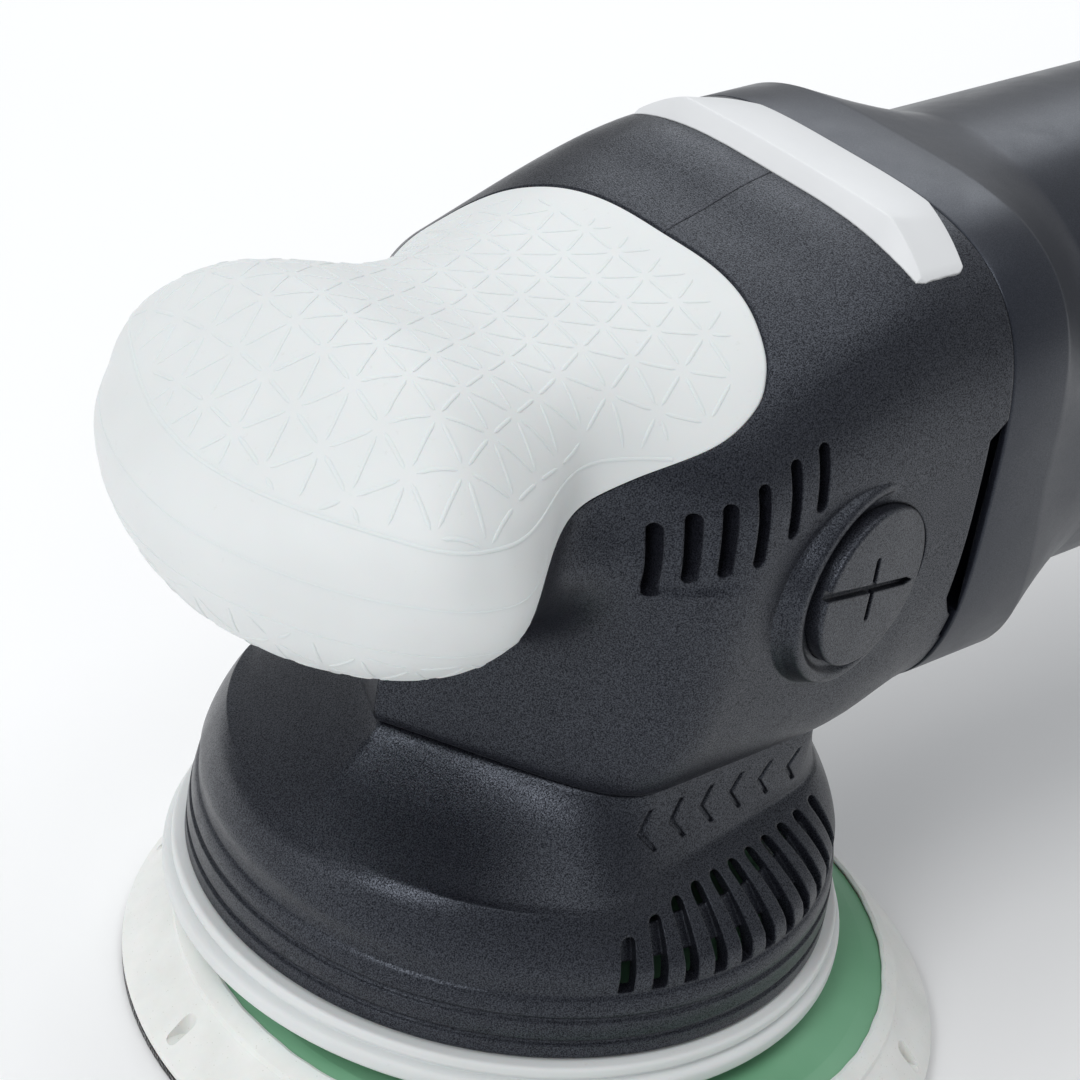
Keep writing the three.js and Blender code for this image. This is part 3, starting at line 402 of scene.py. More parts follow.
def head_solid(offset, columns, rows, lip=False, bottom=RIM_Z):
    """The head down to its rim, with rows that follow the rim."""
    angles = around(columns)
    result = []
    for share in LIP_ROWS if lip else (0, 1):
        row = level_row(bottom + LIP_HIGH * share, angles, offset)
        if lip:
            row -= LIP_INSET * (1 - math.sqrt(1 - (1 - share) ** 2)) * polar(1, angles, 0)
        result.append(row)
    last = result[-1]
    low = np.arctan2(last[:, 2] - HEAD_CENTRE[2], np.linalg.norm(last[:, :2] - HEAD_CENTRE[:2], axis=1))
    for i in range(1, rows):
        rise = low + (math.pi / 2 - low) * i / rows
        ray = np.stack([np.cos(rise) * np.cos(angles), np.cos(rise) * np.sin(angles), np.sin(rise)], -1)
        result.append(reach(HEAD_CENTRE, ray, offset))
    return loft(result)


# The grip's edge as (phi, alpha) in degrees, from its lowest point up to its rear tip on one side.
GRIP_EDGE = [(-90, 35.3), (-47, 40), (-23, 47.4), (-2, 51.8), (5, 56), (13.9, 64.3), (20.5, 81.5),
             (25, 99.6), (30, 109.6), (36.6, 115.3), (48, 121), (70, 128.2), (90, 130)]
EDGE_TO_TIP = (1, 0.8, 0.6, 0.4, 0.2, 0.05)  # rows of a coarse skin from that edge to the nose's tip


def closed_curve(points, count):
    """Evenly spaced points on a smooth closed curve through the given ones."""
    p = np.asarray(points, float)
    fine = []
    for i in range(len(p)):
        a, b, c, d = (p[(i + k) % len(p)] for k in (-1, 0, 1, 2))
        for t in np.linspace(0, 1, 40, endpoint=False):
            fine.append(b + 0.5 * t * (c - a + t * (2 * a - 5 * b + 4 * c - d + t * (3 * (b - c) + d - a))))
    fine = np.array(fine + [fine[0]])
    along = np.r_[0, np.cumsum(np.linalg.norm(np.diff(fine, axis=0), axis=1))]
    at = np.linspace(0, along[-1], count, endpoint=False)
    return np.stack([np.interp(at, along, fine[:, k]) for k in range(p.shape[1])], -1)


@functools.lru_cache
def grip_edge(count):
    """Unit directions to the grip's edge, all the way round."""
    half = [(alpha, phi) for phi, alpha in GRIP_EDGE]
    other = [(alpha, 180 - phi) for phi, alpha in GRIP_EDGE[1:-1]][::-1]
    curve = closed_curve(direction(*np.radians(np.array(half + other)).T), count)
    return curve / np.linalg.norm(curve, axis=1, keepdims=True)


def edge_angles(edge):
    return np.arccos(np.clip(edge[:, 0], -1, 1)), np.arctan2(edge[:, 2], edge[:, 1])


def towards(edge, share, grow=0.0):
    """Directions between the nose's tip and the grip's edge, which may be grown by some degrees."""
    alpha, phi = edge_angles(edge)
    return direction(alpha * share + math.radians(grow), phi)


def grip_fan(grow, columns=160):
    """Everything seen from the head's centre inside the grip's edge."""
    edge = grip_edge(columns)
    rows = [HEAD_CENTRE + 0.02 * towards(edge, 1, grow)]
    rows += [HEAD_CENTRE + 120 * towards(edge, share, grow * share) for share in EDGE_TO_TIP]
    return loft(rows)


# ---------------------------- head covers
SIDE_VENTS = [(16.3, 89.8, 100.7), (12.2, 92.3, 102.6), (8.2, 93.4, 104.3), (3.6, 94.5, 106.6),
              (-2, 97.5, 108.8), (-7, 100.2, 110.1)]  # x, bottom and top of each slot
VENT_WIDTH = 2.05
BOSS_TILT = math.radians(9)  # the boss leans about its plug's rear edge, which lies in the wall
BOSS_WALL, PLUG_REAR = 39.7, -31.7
PLUG_R = 12.3
HOLE_R = PLUG_R + 0.12
# The corners of a turned section below are (radius, height, rounding).
BOSS_RING = [(HOLE_R, -9, 0), (16.2, -9, 0), (17.6, -5.6, 0.6), (16.5, -3.9, 0.8), (15.6, -1.75, 0.9),
             (14.3, -1.6, 0.8), (13.3, -2.7, 0.5), (HOLE_R, -2.7, 0)]
PLUG = [(0, -8, 0), (PLUG_R, -8, 0), (PLUG_R, -0.1, 0.7), (0, 0.05, 0)]
LONG_BAR = [(-10.6, 0, 0.1), (-8.6, -0.63, 0.3), (PLUG_R + 2, -0.75, 0), (PLUG_R + 2, 0.75, 0),
            (-8.6, 0.63, 0.3)]
SHORT_BAR = (0.6, -5.2, 5.2, 1.1)
BAR_SLOPE = math.radians(14)  # the long bar falls towards the rear
NOTCH = (3.3, 72, 104)  # the slot between head and motor: width, bottom, top
NOTCH_SLIT, NOTCH_SLIT_LONG = 0.55, 5
INNER_SKIN = 2.4  # the wall behind the grip


def boss_frame(side):
    """The middle of the plug's face, the direction out of it and the one across it to the front."""
    across = np.array([math.cos(BOSS_TILT), side * math.sin(BOSS_TILT), 0])
    along = np.array([-math.sin(BOSS_TILT), side * math.cos(BOSS_TILT), 0])
    return np.array([PLUG_REAR, side * BOSS_WALL, BOSS_Z]) + PLUG_R * across, along, across


def notch_cutter(side):
    """A slanted slot with a narrow slit below it."""
    width, low, high = NOTCH
    back, slit, front = HEAD_REAR - 1, HEAD_REAR + NOTCH_SLIT, HEAD_REAR + width
    end = low - NOTCH_SLIT_LONG
    outline = [(back, end, 0), (slit, end, 0), (slit, low - 0.6, 0.2), (HEAD_REAR + 1.5, low + 0.3, 0.2),
               (front, low + 3.5, 0.5), (front, high - 1.6, 0.3), (back, high + 1.6, 0)]
    return plate(outline, "y", *span(side, 20, 60))


def head_covers():
    behind = -GRIP_SKIN - GAP
    outer = union(cut(head_solid(0, 240, 110, lip=True), grip_fan(0.2)), head_solid(behind, 96, 40))
    cavity = union(cut(head_solid(-WALL, 96, 40, bottom=RIM_Z - 1), grip_fan(7, 60)),
                   head_solid(behind - INNER_SKIN, 96, 40, bottom=RIM_Z - 1.3))
    shell = cut(outer, cavity, block(-200, HEAD_REAR, -200, 200, -100, 300))
    for tag, side in SIDES:
        half = common(copied(shell), block(-90, 90, *span(side, SEAM, 60), 20, 160))
        face, along, _ = boss_frame(side)
        union(half, turned(BOSS_RING, 128, face, along))
        vents = [prism(stadium(*vent, VENT_WIDTH), "y", *span(side, 20, 50)) for vent in SIDE_VENTS]
        hole = rod(HOLE_R, face - 14 * along, face + 8 * along, 128)
        cut(half, hole, notch_cutter(side), together(vents))
        done(half, f"head_shell_{tag}", "charcoal_plastic", f"head_cover_{tag}")
    discard(shell)


def boss_plugs():
    for tag, side in SIDES:
        face, along, across = boss_frame(side)
        plug = turned(PLUG, 128, face, along, 6)
        place = np.eye(4)
        place[:3] = np.column_stack([across, along, (0, 0, 1), face * MM])
        bars = [plate(LONG_BAR, "y", -1.1, 3), prism(stadium(*SHORT_BAR), "y", -1, 3)]
        bars[0].data.transform(Matrix.Rotation(-BAR_SLOPE, 4, "Y"))
        for bar in bars:
            bar.data.transform(Matrix(place.tolist()))
            cut(plug, bar)
        done(plug, f"side_plug_{tag}", "charcoal_plastic", f"boss_plug_{tag}")


# ---------------------------- front grip
EDGE_SOFT = 0.7
LATTICE_PITCH = 7.0
LATTICE_TURN = math.radians(24)
LATTICE_START = np.array([5.8, 8.7])
LATTICE_REACH = ((-16, 84), 46)  # how far it runs along and across the tool
STROKE = (0.14, 0.86)  # the part of each lattice edge that is raised
STROKE_SIZE = (0.36, 0.13)  # half width and height
EDGE_MARGIN = 2.3
BELT = (94.3, 109.2)  # the smooth belt between the two textured areas
BELT_MARGIN = 0.5
PARTING_LINES = [(BELT[1], 0.34, 0.13), (101.9, 0.2, 0.06), (BELT[0], 0.3, 0.1)]  # level, half width, height
BEAD = [(-1, -0.6), (-0.72, 0.45), (-0.3, 0.92), (0.3, 0.92), (0.72, 0.45), (1, -0.6)]
BEAD_DEPTH = 0.25  # how deep its lower corners lie in the rubber
BEAD_END = 0.35  # its ends are this share of its size


def front_grip():
    edge = grip_edge(240)
    result = [reach(HEAD_CENTRE, towards(edge, share ** 0.85 * 0.985))
              for share in np.linspace(0.004, 1, 100, endpoint=False)]
    rim = reach(HEAD_CENTRE, towards(edge, 1))
    inward = result[-1] - rim
    inward /= np.linalg.norm(inward, axis=1, keepdims=True)
    normals = outward(rim)
    for turn in np.radians([0, 18, 36, 54, 72, 90]):
        back, down = 1 - math.sin(turn), 1 - math.cos(turn)
        result.append(rim + inward * EDGE_SOFT * back - normals * EDGE_SOFT * down)
    for share in EDGE_TO_TIP:
        result.append(reach(HEAD_CENTRE, towards(edge, share), -GRIP_SKIN + 0.1))
    done(loft(result), "front_grip", "grip_rubber", "nose_grip")


def inside_grip(points, margin):
    """Which points of the head's surface lie inside the grip's edge by at least the margin."""
    edge = grip_edge(720)
    ray = points - HEAD_CENTRE
    r = np.linalg.norm(ray, axis=1)
    alpha = np.arccos(ray[:, 0] / r)
    phi = np.arctan2(ray[:, 2], ray[:, 1])
    nearest = np.linalg.norm(direction(alpha, phi)[:, None] - edge[None], axis=2).min(1) * r
    rim_alpha, rim_phi = edge_angles(edge)
    order = np.argsort(rim_phi)
    limit = np.interp(phi, rim_phi[order], rim_alpha[order], period=2 * math.pi)
    return (alpha < limit) & (nearest > margin)


def bead(points, half_width, height):
    """A thin raised line on the head's surface: its verts and faces, tapering at both ends."""
    normals = outward(points)
    across = np.cross(normals, np.gradient(points, axis=0))
    across /= np.linalg.norm(across, axis=1, keepdims=True)
    taper = np.ones((len(points), 1))
    taper[[0, -1]] = BEAD_END
    verts = np.stack([points + across * (half_width * u * taper) +
                      normals * (height * v * taper if v > 0 else -BEAD_DEPTH) for u, v in BEAD], 1)
    count = len(BEAD)
    faces = grid_faces(len(points), count)
    faces += [tuple(range(count))[::-1], tuple((len(points) - 1) * count + k for k in range(count))]
    return verts.reshape(-1, 3), faces


def upper_sheet(plan, low, high):
    """Heights at which the upright line through each plan point leaves the head, between low and high."""
    start = np.full(len(plan), float(low))
    z = last_inside(lambda z: head_field(*plan.T, z) > 0, start, np.full(len(plan), float(high)))
    return np.column_stack([plan, z]), head_field(*plan.T, start) < 0


def lattice_strokes():
    """Strokes along the edges of a triangular lattice seen in plan, on the top and under the nose."""
    turns = [LATTICE_TURN + k * math.pi / 3 for k in range(3)]
    steps = [LATTICE_PITCH * np.array([math.cos(a), math.sin(a)]) for a in turns]
    (rear, front), across = LATTICE_REACH
    made = []
    for i in range(-16, 17):
        for j in range(-16, 17):
            corner = LATTICE_START + i * steps[0] + j * steps[2]
            if not (rear < corner[0] < front and abs(corner[1]) < across):
                continue
            for step in steps:
                plan = corner + np.linspace(*STROKE, 9)[:, None] * step
                for low, high, top in ((BARREL_MID + 6, 134, True), (96, 66, False)):
                    points, valid = upper_sheet(plan, low, high)
                    x, _, z = points.T
                    textured = z > BELT[1] + BELT_MARGIN if top else (z < BELT[0] - BELT_MARGIN) & (x > 40)
                    keep = valid & textured & inside_grip(points, EDGE_MARGIN)
                    if keep.sum() < 4:
                        continue
                    first, last = np.flatnonzero(keep)[[0, -1]]
                    if last - first + 1 == keep.sum():
                        made.append(bead(points[first:last + 1], *STROKE_SIZE))
    return made


def parting_lines():
    made = []
    for z, half_width, height in PARTING_LINES:
        points = level_row(z, np.linspace(-math.pi * 0.75, math.pi * 0.75, 900))
        keep = np.flatnonzero(inside_grip(points, 0.6))
        made.append(bead(points[keep[0]:keep[-1] + 1], half_width, height))
    return made


def grip_texture():
    verts, faces, count = [], [], 0
    for part, part_faces in lattice_strokes() + parting_lines():
        verts.append(part)
        faces += [tuple(count + k for k in face) for face in part_faces]
        count += len(part)
    done(mesh_object(np.concatenate(verts), faces), "grip_texture", "grip_rubber")


# ---------------------------- accent strip
STRIP_HALF, STRIP_FRONT, STRIP_RIDGE, STRIP_REAR, STRIP_REAR_END = 29.2, -28.8, -31.4, -43.8, -39.2
STRIP_KINK, STRIP_BEND = 17.0, 20.7  # beyond these the rear edge runs forward and the ridge falls
STRIP_TOP, STRIP_CROWN, STRIP_FALL = 131.3, 0.001, 5.3
STRIP_END, STRIP_END_SLOPE = 0.35, 1.6  # the ends are rounded off over this length


def barrel_top(y):
    high = BARREL_TOP - BARREL_MID
    return BARREL_MID + high * (1 - abs(y / BARREL_WIDE) ** BARREL_POWER) ** (1 / BARREL_POWER)


def accent_strip():
    rows = []
    for y in np.linspace(-STRIP_HALF - 0.25, STRIP_HALF + 0.25, 92):
        inner = min(abs(y), STRIP_HALF)
        end = STRIP_END_SLOPE * max(abs(y) - STRIP_HALF + STRIP_END, 0)
        past = max(inner - STRIP_BEND, 0) / (STRIP_HALF - STRIP_BEND)
        back = max(inner - STRIP_KINK, 0) / (STRIP_HALF - STRIP_KINK)
        rear = STRIP_REAR + (STRIP_REAR_END - STRIP_REAR) * back + end
        front = STRIP_FRONT - 0.4 * past ** 2 - 0.5 * end
        ridge = STRIP_TOP - STRIP_CROWN * inner ** 2 - STRIP_FALL * (0.4 * past ** 2 + 0.6 * past) - end
        wall = barrel_top(y)
        outline = [(front, wall - 0.7, 0), (STRIP_RIDGE + 0.6 * past - end, ridge, 0.5),
                   (rear, wall + 0.45 - 0.5 * end, 0.3), (rear, wall - 6, 0), (front, wall - 6, 0)]
        rows.append([(x, y, z) for x, z in rounded(outline)])
    done(cut(loft(rows), head_solid(0.03, 200, 90)), "rear_accent", "white_plastic", "accent_strip")


# ---------------------------- shroud
# Heights of the rows, each with how far its surface is set in.
SKIRT_ROWS = [(20.5, 0.7), (20.6, 0.25), (20.9, 0), (22.9, 0), (23.1, 0.45), (23.6, 0.5), (23.9, 0.1),
              (24.2, 0), (26.7, 0), (26.9, 0.45), (27.4, 0.5), (27.7, 0.1), (28, 0), (30.3, 0), (30.6, 0.15),
              (30.9, 0.4), (31.4, 0.35), (32.2, 0.3)]
BAND_ROWS = [33, 34, 35, 36, 37, 38, 39, 39.8, 40.6, 41.3, 41.9, 42.3, 42.5]
NECK_ROWS = [42.75, 43, 43.6, 44.5, 45.6, 46.8, 48, 49.2, 50.4, 51.6, 52.6, 53.6, 54.1]
SHROUD_TOP = RIM_Z - GAP
TOP_ROWS = [(SHROUD_TOP - 0.3, 0.3), (SHROUD_TOP - 0.15, 0.9), (SHROUD_TOP, 1.3)]
BAND_LOW, CREASE_Z, BAND_R = 32.0, 42.5, 48.2
CREASE_R, CREASE_OFF, CREASE_FLANK, CREASE_LEAN, CREASE_SOFT = 44.2, 0.9, 36.6, 0.17, 4
CREASE_STEP = 0.55
FRONT_FADE = (math.radians(6), math.radians(45))  # the crease is soft at the front, and sharp from here on
FRONT_FILLET, FRONT_SWELL = 5.0, 0.8
NECK_INSET = 1.3  # how far the neck's top lies inside the head's rim
SHROUD_WALL = 2.6
SHROUD_INNER_ROWS = [SKIRT_BOTTOM - 1, 32, 34, 36, 38, 40, 42.5, 44, 46, 48, 50]
RIB, RIB_INNER = ((35, 1.9), (38.7, 1.9), (38.7, 3.6), (35, 3.6)), 41.1  # height and depth of its corners
SKIRT_VENTS = [(67.3 + 6.25 * i, (39, 40.3, 41)[i] if i < 3 else 41.3) for i in range(11)]  # azimuth and top
SKIRT_VENT_LOW, SKIRT_VENT_HALF = 31.2, 1.2
CHEVRON = [(0, 0), (-2.4, 2.7), (-3.3, 2.7), (-1.15, 0), (-3.3, -2.9), (-2.4, -2.9)]
CHEVRON_TIPS = [(10.6 - 6.2 * i, 49.0 - 0.1 * i) for i in range(6)]  # x and height
CHEVRON_DEPTH = 0.5
BUMPER = [(43.8, 14.2, 0.3), (50.6, 14.2, 0.7), (51.8, 15.1, 1.0), (51.8, 17.4, 1.0), (50.1, 17.75, 0.25),
          (50.1, 18.1, 0.2), (50.75, 18.6, 0.6), (50.7, 20.2, 0.7), (45.2, 20.3, 0), (45.2, 26, 0.3),
          (43.8, 26, 0.3)]


def rim_radius(angles):
    """How far the neck's top lies from the spindle's axis, in the direction of each angle."""
    def outside(r):
        return head_field(r * np.cos(angles), r * np.sin(angles), 0 * r + RIM_Z + 1) > -NECK_INSET

    return last_inside(outside, np.full(angles.shape, 5.0), np.full(angles.shape, 41.0))


def crease_radius(angles):
    """The crease above the vents is round at the front and rear, and flatter on both flanks."""
    flank = CREASE_FLANK / np.maximum(np.abs(np.sin(angles)) - CREASE_LEAN * np.cos(angles), 0.01)
    return blend(CREASE_R + CREASE_OFF * np.cos(angles), flank, CREASE_SOFT)


def shroud_radius(angles, z):
    """Below the crease a swelling band, above it a hollow neck; the crease is soft at the front."""
    if z <= BAND_LOW:
        return 0 * angles + BAND_R + 0.7 * float(smoothstep(BAND_LOW - z, 0, 7))
    off_front = smoothstep(math.pi - np.abs(angles - math.pi), *FRONT_FADE)
    crease = crease_radius(angles)
    t = (CREASE_Z - z) / (CREASE_Z - BAND_LOW)
    band = crease + (BAND_R - crease) * (1 - (1 - t) ** 1.6)
    rim = rim_radius(angles)
    left = (SHROUD_TOP - z) / (SHROUD_TOP - CREASE_Z)
    step = CREASE_STEP * off_front * float(smoothstep(z, CREASE_Z, CREASE_Z + 0.4))
    neck = rim + (crease - step - rim) * (0.35 * left + 0.65 * left * left)
    plain = band if z <= CREASE_Z else neck
    soft = blend(band, neck, FRONT_FILLET) + FRONT_SWELL
    share = (1 - off_front) * float(smoothstep(z, BAND_LOW, BAND_LOW + 4) * (1 - smoothstep(z, 50, RIM_Z)))
    return plain + (soft - plain) * share


def shroud_row(angles, z, inset):
    return polar(shroud_radius(angles, z) - inset, angles, z)


def shroud_outer():
    rows = SKIRT_ROWS + [(z, 0.25 * max(34 - z, 0)) for z in BAND_ROWS]
    rows += [(z, 0) for z in NECK_ROWS] + TOP_ROWS
    return loft([shroud_row(around(288), z, inset) for z, inset in rows])


def shroud_inner():
    return loft([shroud_row(around(144), z, SHROUD_WALL) for z in SHROUD_INNER_ROWS])


def inner_rib():
    """A rib behind the vents that follows the wall."""
    angles = around(144)
    return ring_loft([polar(np.maximum(shroud_radius(angles, z) - depth, RIB_INNER), angles, z)
                      for z, depth in RIB])


def chevron(side, tip_x, tip_z):
    """An engraved arrowhead on the neck, pointing forward."""
    turns = np.linspace(math.radians(30), math.radians(160), 261)
    rows = [[], []]
    for dx, dz in CHEVRON:
        radii = shroud_radius(turns, tip_z + dz)
        angle = float(np.interp(-tip_x - dx, -radii * np.cos(turns), turns))
        for row, depth in zip(rows, (-CHEVRON_DEPTH, 2.0)):
            r = float(np.interp(angle, turns, radii)) + depth
            row.append((r * math.cos(angle), side * r * math.sin(angle), tip_z + dz))
    return capped(rows)


def shroud():
    """The shroud with its vents and arrowheads, and the bumper ring under it."""
    shell = cut(shroud_outer(), shroud_inner(), turned(disk(16, 40, 60), 64))
    low, half = SKIRT_VENT_LOW, SKIRT_VENT_HALF
    foot = [(-half, low, 0.35), (half, low, 0.35)]
    slots = []
    for _, side in SIDES:
        for azimuth, top in SKIRT_VENTS:
            slot = plate(foot + [(half, top, 1.15), (-half, top, 1.15)], "x", 34, 56, 8)
            slot.data.transform(Matrix.Rotation(side * math.radians(azimuth), 4, "Z"))
            slots.append(slot)
        slots += [chevron(side, x, z) for x, z in CHEVRON_TIPS]
    cut(shell, together(slots))
    done(union(shell, inner_rib()), "skirt_shroud", "charcoal_plastic", "shroud")
    done(turned(BUMPER, 192), "bumper", "grip_rubber", "bumper_ring")


# ---------------------------- pad
DIMPLES, DIMPLE_START = 8, -12
DIMPLE = [(PAD_R - 5.4, -1.5, 1.4), (PAD_R - 5.4, 1.5, 1.4), (PAD_R - 1.4, 1.1, 1), (PAD_R - 1.4, -1.1, 1)]
DIMPLE_FLOOR = 3.6
SEAT_R = DISC_R + 0.25
FOAM = [(0, FOAM_Z, 0), (PAD_R - 0.4, FOAM_Z, 0.2), (PAD_R, FOAM_Z + 1.1, 0.9), (DISC_R + 1.2, FOAM_TOP, 1.4),
        (SEAT_R, FOAM_TOP - 0.1, 0.4), (SEAT_R, SEAT, 0), (0, SEAT, 0)]
DISC = [(0, SEAT + 0.02, 0), (DISC_R, SEAT + 0.02, 0), (DISC_R, 11.2, 0.6), (50, 12, 0.8), (4.3, 12, 0.2),
        (4.3, 9.2, 0), (0, 9.2, 0)]
LIP_FACING = math.radians(-10)  # where the foam laps furthest over the disc
LIP_LAP, LIP_MORE, LIP_ROUGH = 0.3, 0.32, 0.1
# Corners of its section, out from the lip's edge or from the disc's, and up from the disc's top.
LIP_INNER = [(0, -0.45), (0.1, -0.2), (0.6, -0.05)]
LIP_OUTER = [(0.6, -0.35), (2.2, -1.6), (2.4, -2.6), (0.5, -2.6), (0.35, -0.6)]


def foam_lip():
    """The foam's skin laps a little over the disc's edge, with a slightly rough rim."""
    rows = []
    for angle in around(360):
        rough = LIP_ROUGH * math.sin(41 * angle) * math.sin(17 * angle)
        edge = DISC_R - (LIP_LAP + LIP_MORE * (1 + math.cos(angle - LIP_FACING)) + rough)
        row = [(edge + r, z) for r, z in LIP_INNER] + [(DISC_R + r, z) for r, z in LIP_OUTER]
        rows.append([(ORBIT[0] + r * math.cos(angle), ORBIT[1] + r * math.sin(angle), DISC_TOP + z)
                     for r, z in row])
    return ring_loft(rows)


def pad():
    centre = (*ORBIT, 0)
    low, high = box_mm("hook_face")
    hook = disk(radius_of("hook_face"), low[2], high[2] - 0.02, 0.3)
    done(turned(hook, 160, centre), "hook_layer", "hook_nylon", "hook_face", body="pad")
    foam = union(turned(FOAM, 192, centre, steps=6), foam_lip())
    dimples = []
    for i in range(DIMPLES):
        dimple = plate(DIMPLE, "z", DIMPLE_FLOOR, 12)
        turn = Matrix.Rotation(math.radians(DIMPLE_START + 360 / DIMPLES * i), 4, "Z")
        dimple.data.transform(Matrix.Translation((ORBIT[0] * MM, ORBIT[1] * MM, 0)) @ turn)
        dimples.append(dimple)
    cut(foam, together(dimples))
    done(foam, "foam_pad", "urethane_foam", "pad_foam", body="pad")
    done(turned(DISC, 192, centre), "pad_backing", "green_plastic", "backing_disc", body="pad")


# ---------------------------- motor housing
MOTOR_R = 37.0
MOTOR_BORE = 33.6
MOTOR_VENTS = [-176 - 4.6 * i for i in range(4)]
MOTOR_VENT = (MOTOR_Z - 13, MOTOR_Z + 13, 2.2)  # bottom, top and width
COLLAR_FRONT, COLLAR_CREASE, COLLAR_BLEND = -44.4, -56.0, 17.5
COLLAR_LEAN = 0.165  # below mid height the rear crease runs this much back for each step down
# x, share of the round tube, growth of the collar's section, share of the lean
COLLAR_ROWS = [(COLLAR_FRONT + 0.15, 0, -0.5, 0), (COLLAR_FRONT + 0.1, 0, -0.2, 0),
               (COLLAR_FRONT - 0.1, 0, -0.03, 0), (COLLAR_FRONT - 0.4, 0, 0, 0), (-49, 0, 0, 0.4),
               (COLLAR_CREASE + 0.3, 0, 0, 1), (COLLAR_CREASE, 0, -0.04, 1)]
COLLAR_ROWS += [(COLLAR_CREASE - COLLAR_BLEND * t, 1 - (1 - t) ** 1.35, 0, 1)
                for t in np.linspace(0.02, 1, 22)]
COLLAR_ROWS += [(-110, 1, 0, 0), (-203.6, 1, 0, 0), (-204.5, 1, -0.15, 0), (-204.9, 1, -0.6, 0)]
CAP_HOLE_R = 8.35
CAP = [(0, 32, 0), (8, 32, 0), (8, 38, 0.8), (6.6, 38, 0.2), (6.2, 37.5, 0.2), (0, 37.5, 0)]
CAP_SLOT = oblong(BRUSH_X - 5.6, BRUSH_X + 5.6, MOTOR_Z - 0.9, MOTOR_Z + 0.9, 0.3)
GROOVE_X, GROOVE = -198, [(MOTOR_R - 0.25, 0, 0), (MOTOR_R + 3, -0.35, 0), (MOTOR_R + 3, 0.35, 0)]


def motor_tube(count=240):
    """In front the barrel's own section, longer below than above; behind the crease it turns round."""
    angles = around(count)
    c, s = np.cos(angles), np.sin(angles)
    power = 2 / BARREL_POWER
    tall = np.where(s > 0, BARREL_TOP - BARREL_MID, BARREL_MID - BARREL_BOTTOM)
    wide = BARREL_WIDE - (BARREL_WIDE - BARREL_WIDE_LOW) * np.clip(-s, 0, 1)
    y, z = np.sign(c) * wide * np.abs(c) ** power, BARREL_MID + np.sign(s) * tall * np.abs(s) ** power
    rows = []
    for x, share, grow, lean in COLLAR_ROWS:
        v = y + np.sign(y) * grow
        w = z + np.sign(z - BARREL_MID) * grow
        height = w + (MOTOR_Z + MOTOR_R * s - w) * share
        across = v + (MOTOR_R * c - v) * share
        rows.append(np.stack([x - lean * COLLAR_LEAN * np.maximum(90 - height, 0), across, height], -1))
    return loft(rows)


def about_motor(corners, at=0):
    """A turned solid about the motor's axis, its heights measured along X from the given place."""
    return turned(corners, 96, (at, 0, MOTOR_Z), (1, 0, 0))


def motor_housing():
    walls = cut(motor_tube(), about_motor(disk(MOTOR_BORE, -210, -52)), about_motor(disk(24, -60, -40)))
    union(walls, cut(about_motor(disk(MOTOR_R - 1, -196, -192)), about_motor(disk(11.3, -200, -180))))
    tools = []
    for _, side in SIDES:
        tools += [block(-51, COLLAR_FRONT + 1, *span(side, 30, 38.2), NOTCH[1], NOTCH[2]),
                  rod(CAP_HOLE_R, (BRUSH_X, side * 28, MOTOR_Z), (BRUSH_X, side * 42, MOTOR_Z), 48)]
        tools += [prism(stadium(x, *MOTOR_VENT), "y", *span(side, 25, 45)) for x in MOTOR_VENTS]
    cut(walls, together(tools), about_motor(GROOVE, GROOVE_X))
    done(walls, "motor_shell", "slate_plastic", "motor_housing")
    for tag, side in SIDES:
        cap = turned(CAP, 64, (BRUSH_X, 0, MOTOR_Z), (0, side, 0))
        cut(cap, plate(CAP_SLOT, "y", *span(side, 36.2, 42)))
        done(cap, f"brush_screw_cap_{tag}", "black_plastic", f"brush_cap_{tag}")


# ---------------------------- rear handle
# x, half width, half height and middle height of the handle's section
HANDLE_STATIONS = [
    (-205.3, 36.8, 36.8, 89.2), (-206.2, 36.95, 36.95, 89.2), (-209, 36.5, 36.6, 89.15),
    (-212, 35.4, 35.6, 89), (-219, 32.6, 33.6, 88.75), (-226, 30.2, 32, 88.5), (-235, 28, 30.6, 88.25),
    (-245, 26.6, 29.6, 88), (-260, 25.9, 29, 87.7), (-275, 26, 29, 87.5), (-288, 26.7, 29.7, 87.5),
    (-300, 27.4, 30.4, 87.5), (-310, 28.3, 30.9, 87.5), (-317, 28.6, 31, 87.5), (-321, 28.4, 30.7, 87.5),
    (-323.8, 27.5, 29.8, 87.5), (-325, 26.4, 28.8, 87.5)]
HANDLE_Z = 87.5  # height of its rear end's middle
HANDLE_SCREWS = [(-217, 106), (-262, 106), (-314, 68)]
BOSS_R, SCREW_R, SCREW_HEAD_R = 5, 2.1, 3.8
LOCK_X, LOCK_Z, LOCK_R = -232, 84, 4.6
LOCK = [(0, 14, 0), (LOCK_R, 14, 0), (LOCK_R, 31.6, 0.9), (LOCK_R - 1.3, 31.6, 0.3), (0, 31.0, 0)]
DIAL_X, DIAL_Z, DIAL_R, DIAL_HALF = -299, 108.6, 12, 3.2
DIAL_NOTCHES, DIAL_NOTCH_R = 30, 0.42
GROOVES = [-247 - 5 * i for i in range(6)]
GROOVE_OUTER, GROOVE_INNER = (36, 88, 40), (25.35, 87.8, 28.5)  # half width, middle and half height
TRIGGER = [(TRIGGER_HIGH[0], 69, 0.5), (TRIGGER_HIGH[0], 61.5, 1), (-240, 55.6, 4), (-252, 53.5, 6),
           (-272, 52.3, 6), (TRIGGER_LOW[0], 54, 1.2), (TRIGGER_LOW[0], 60.4, 0.8), (-262, 60.4, 6),
           (-243, 69, 1)]
TRIGGER_PIN, TRIGGER_PIN_R = (-235, 66), 1.9
TRIGGER_GROOVES = [-284 + 5 * i for i in range(7)]
GLAND = [(4.4, -3, 0.4), (8, -3, 1), (8, 3.4, 0), (10.4, 3.4, 0), (10.4, 7, 0), (4.4, 7, 0)]
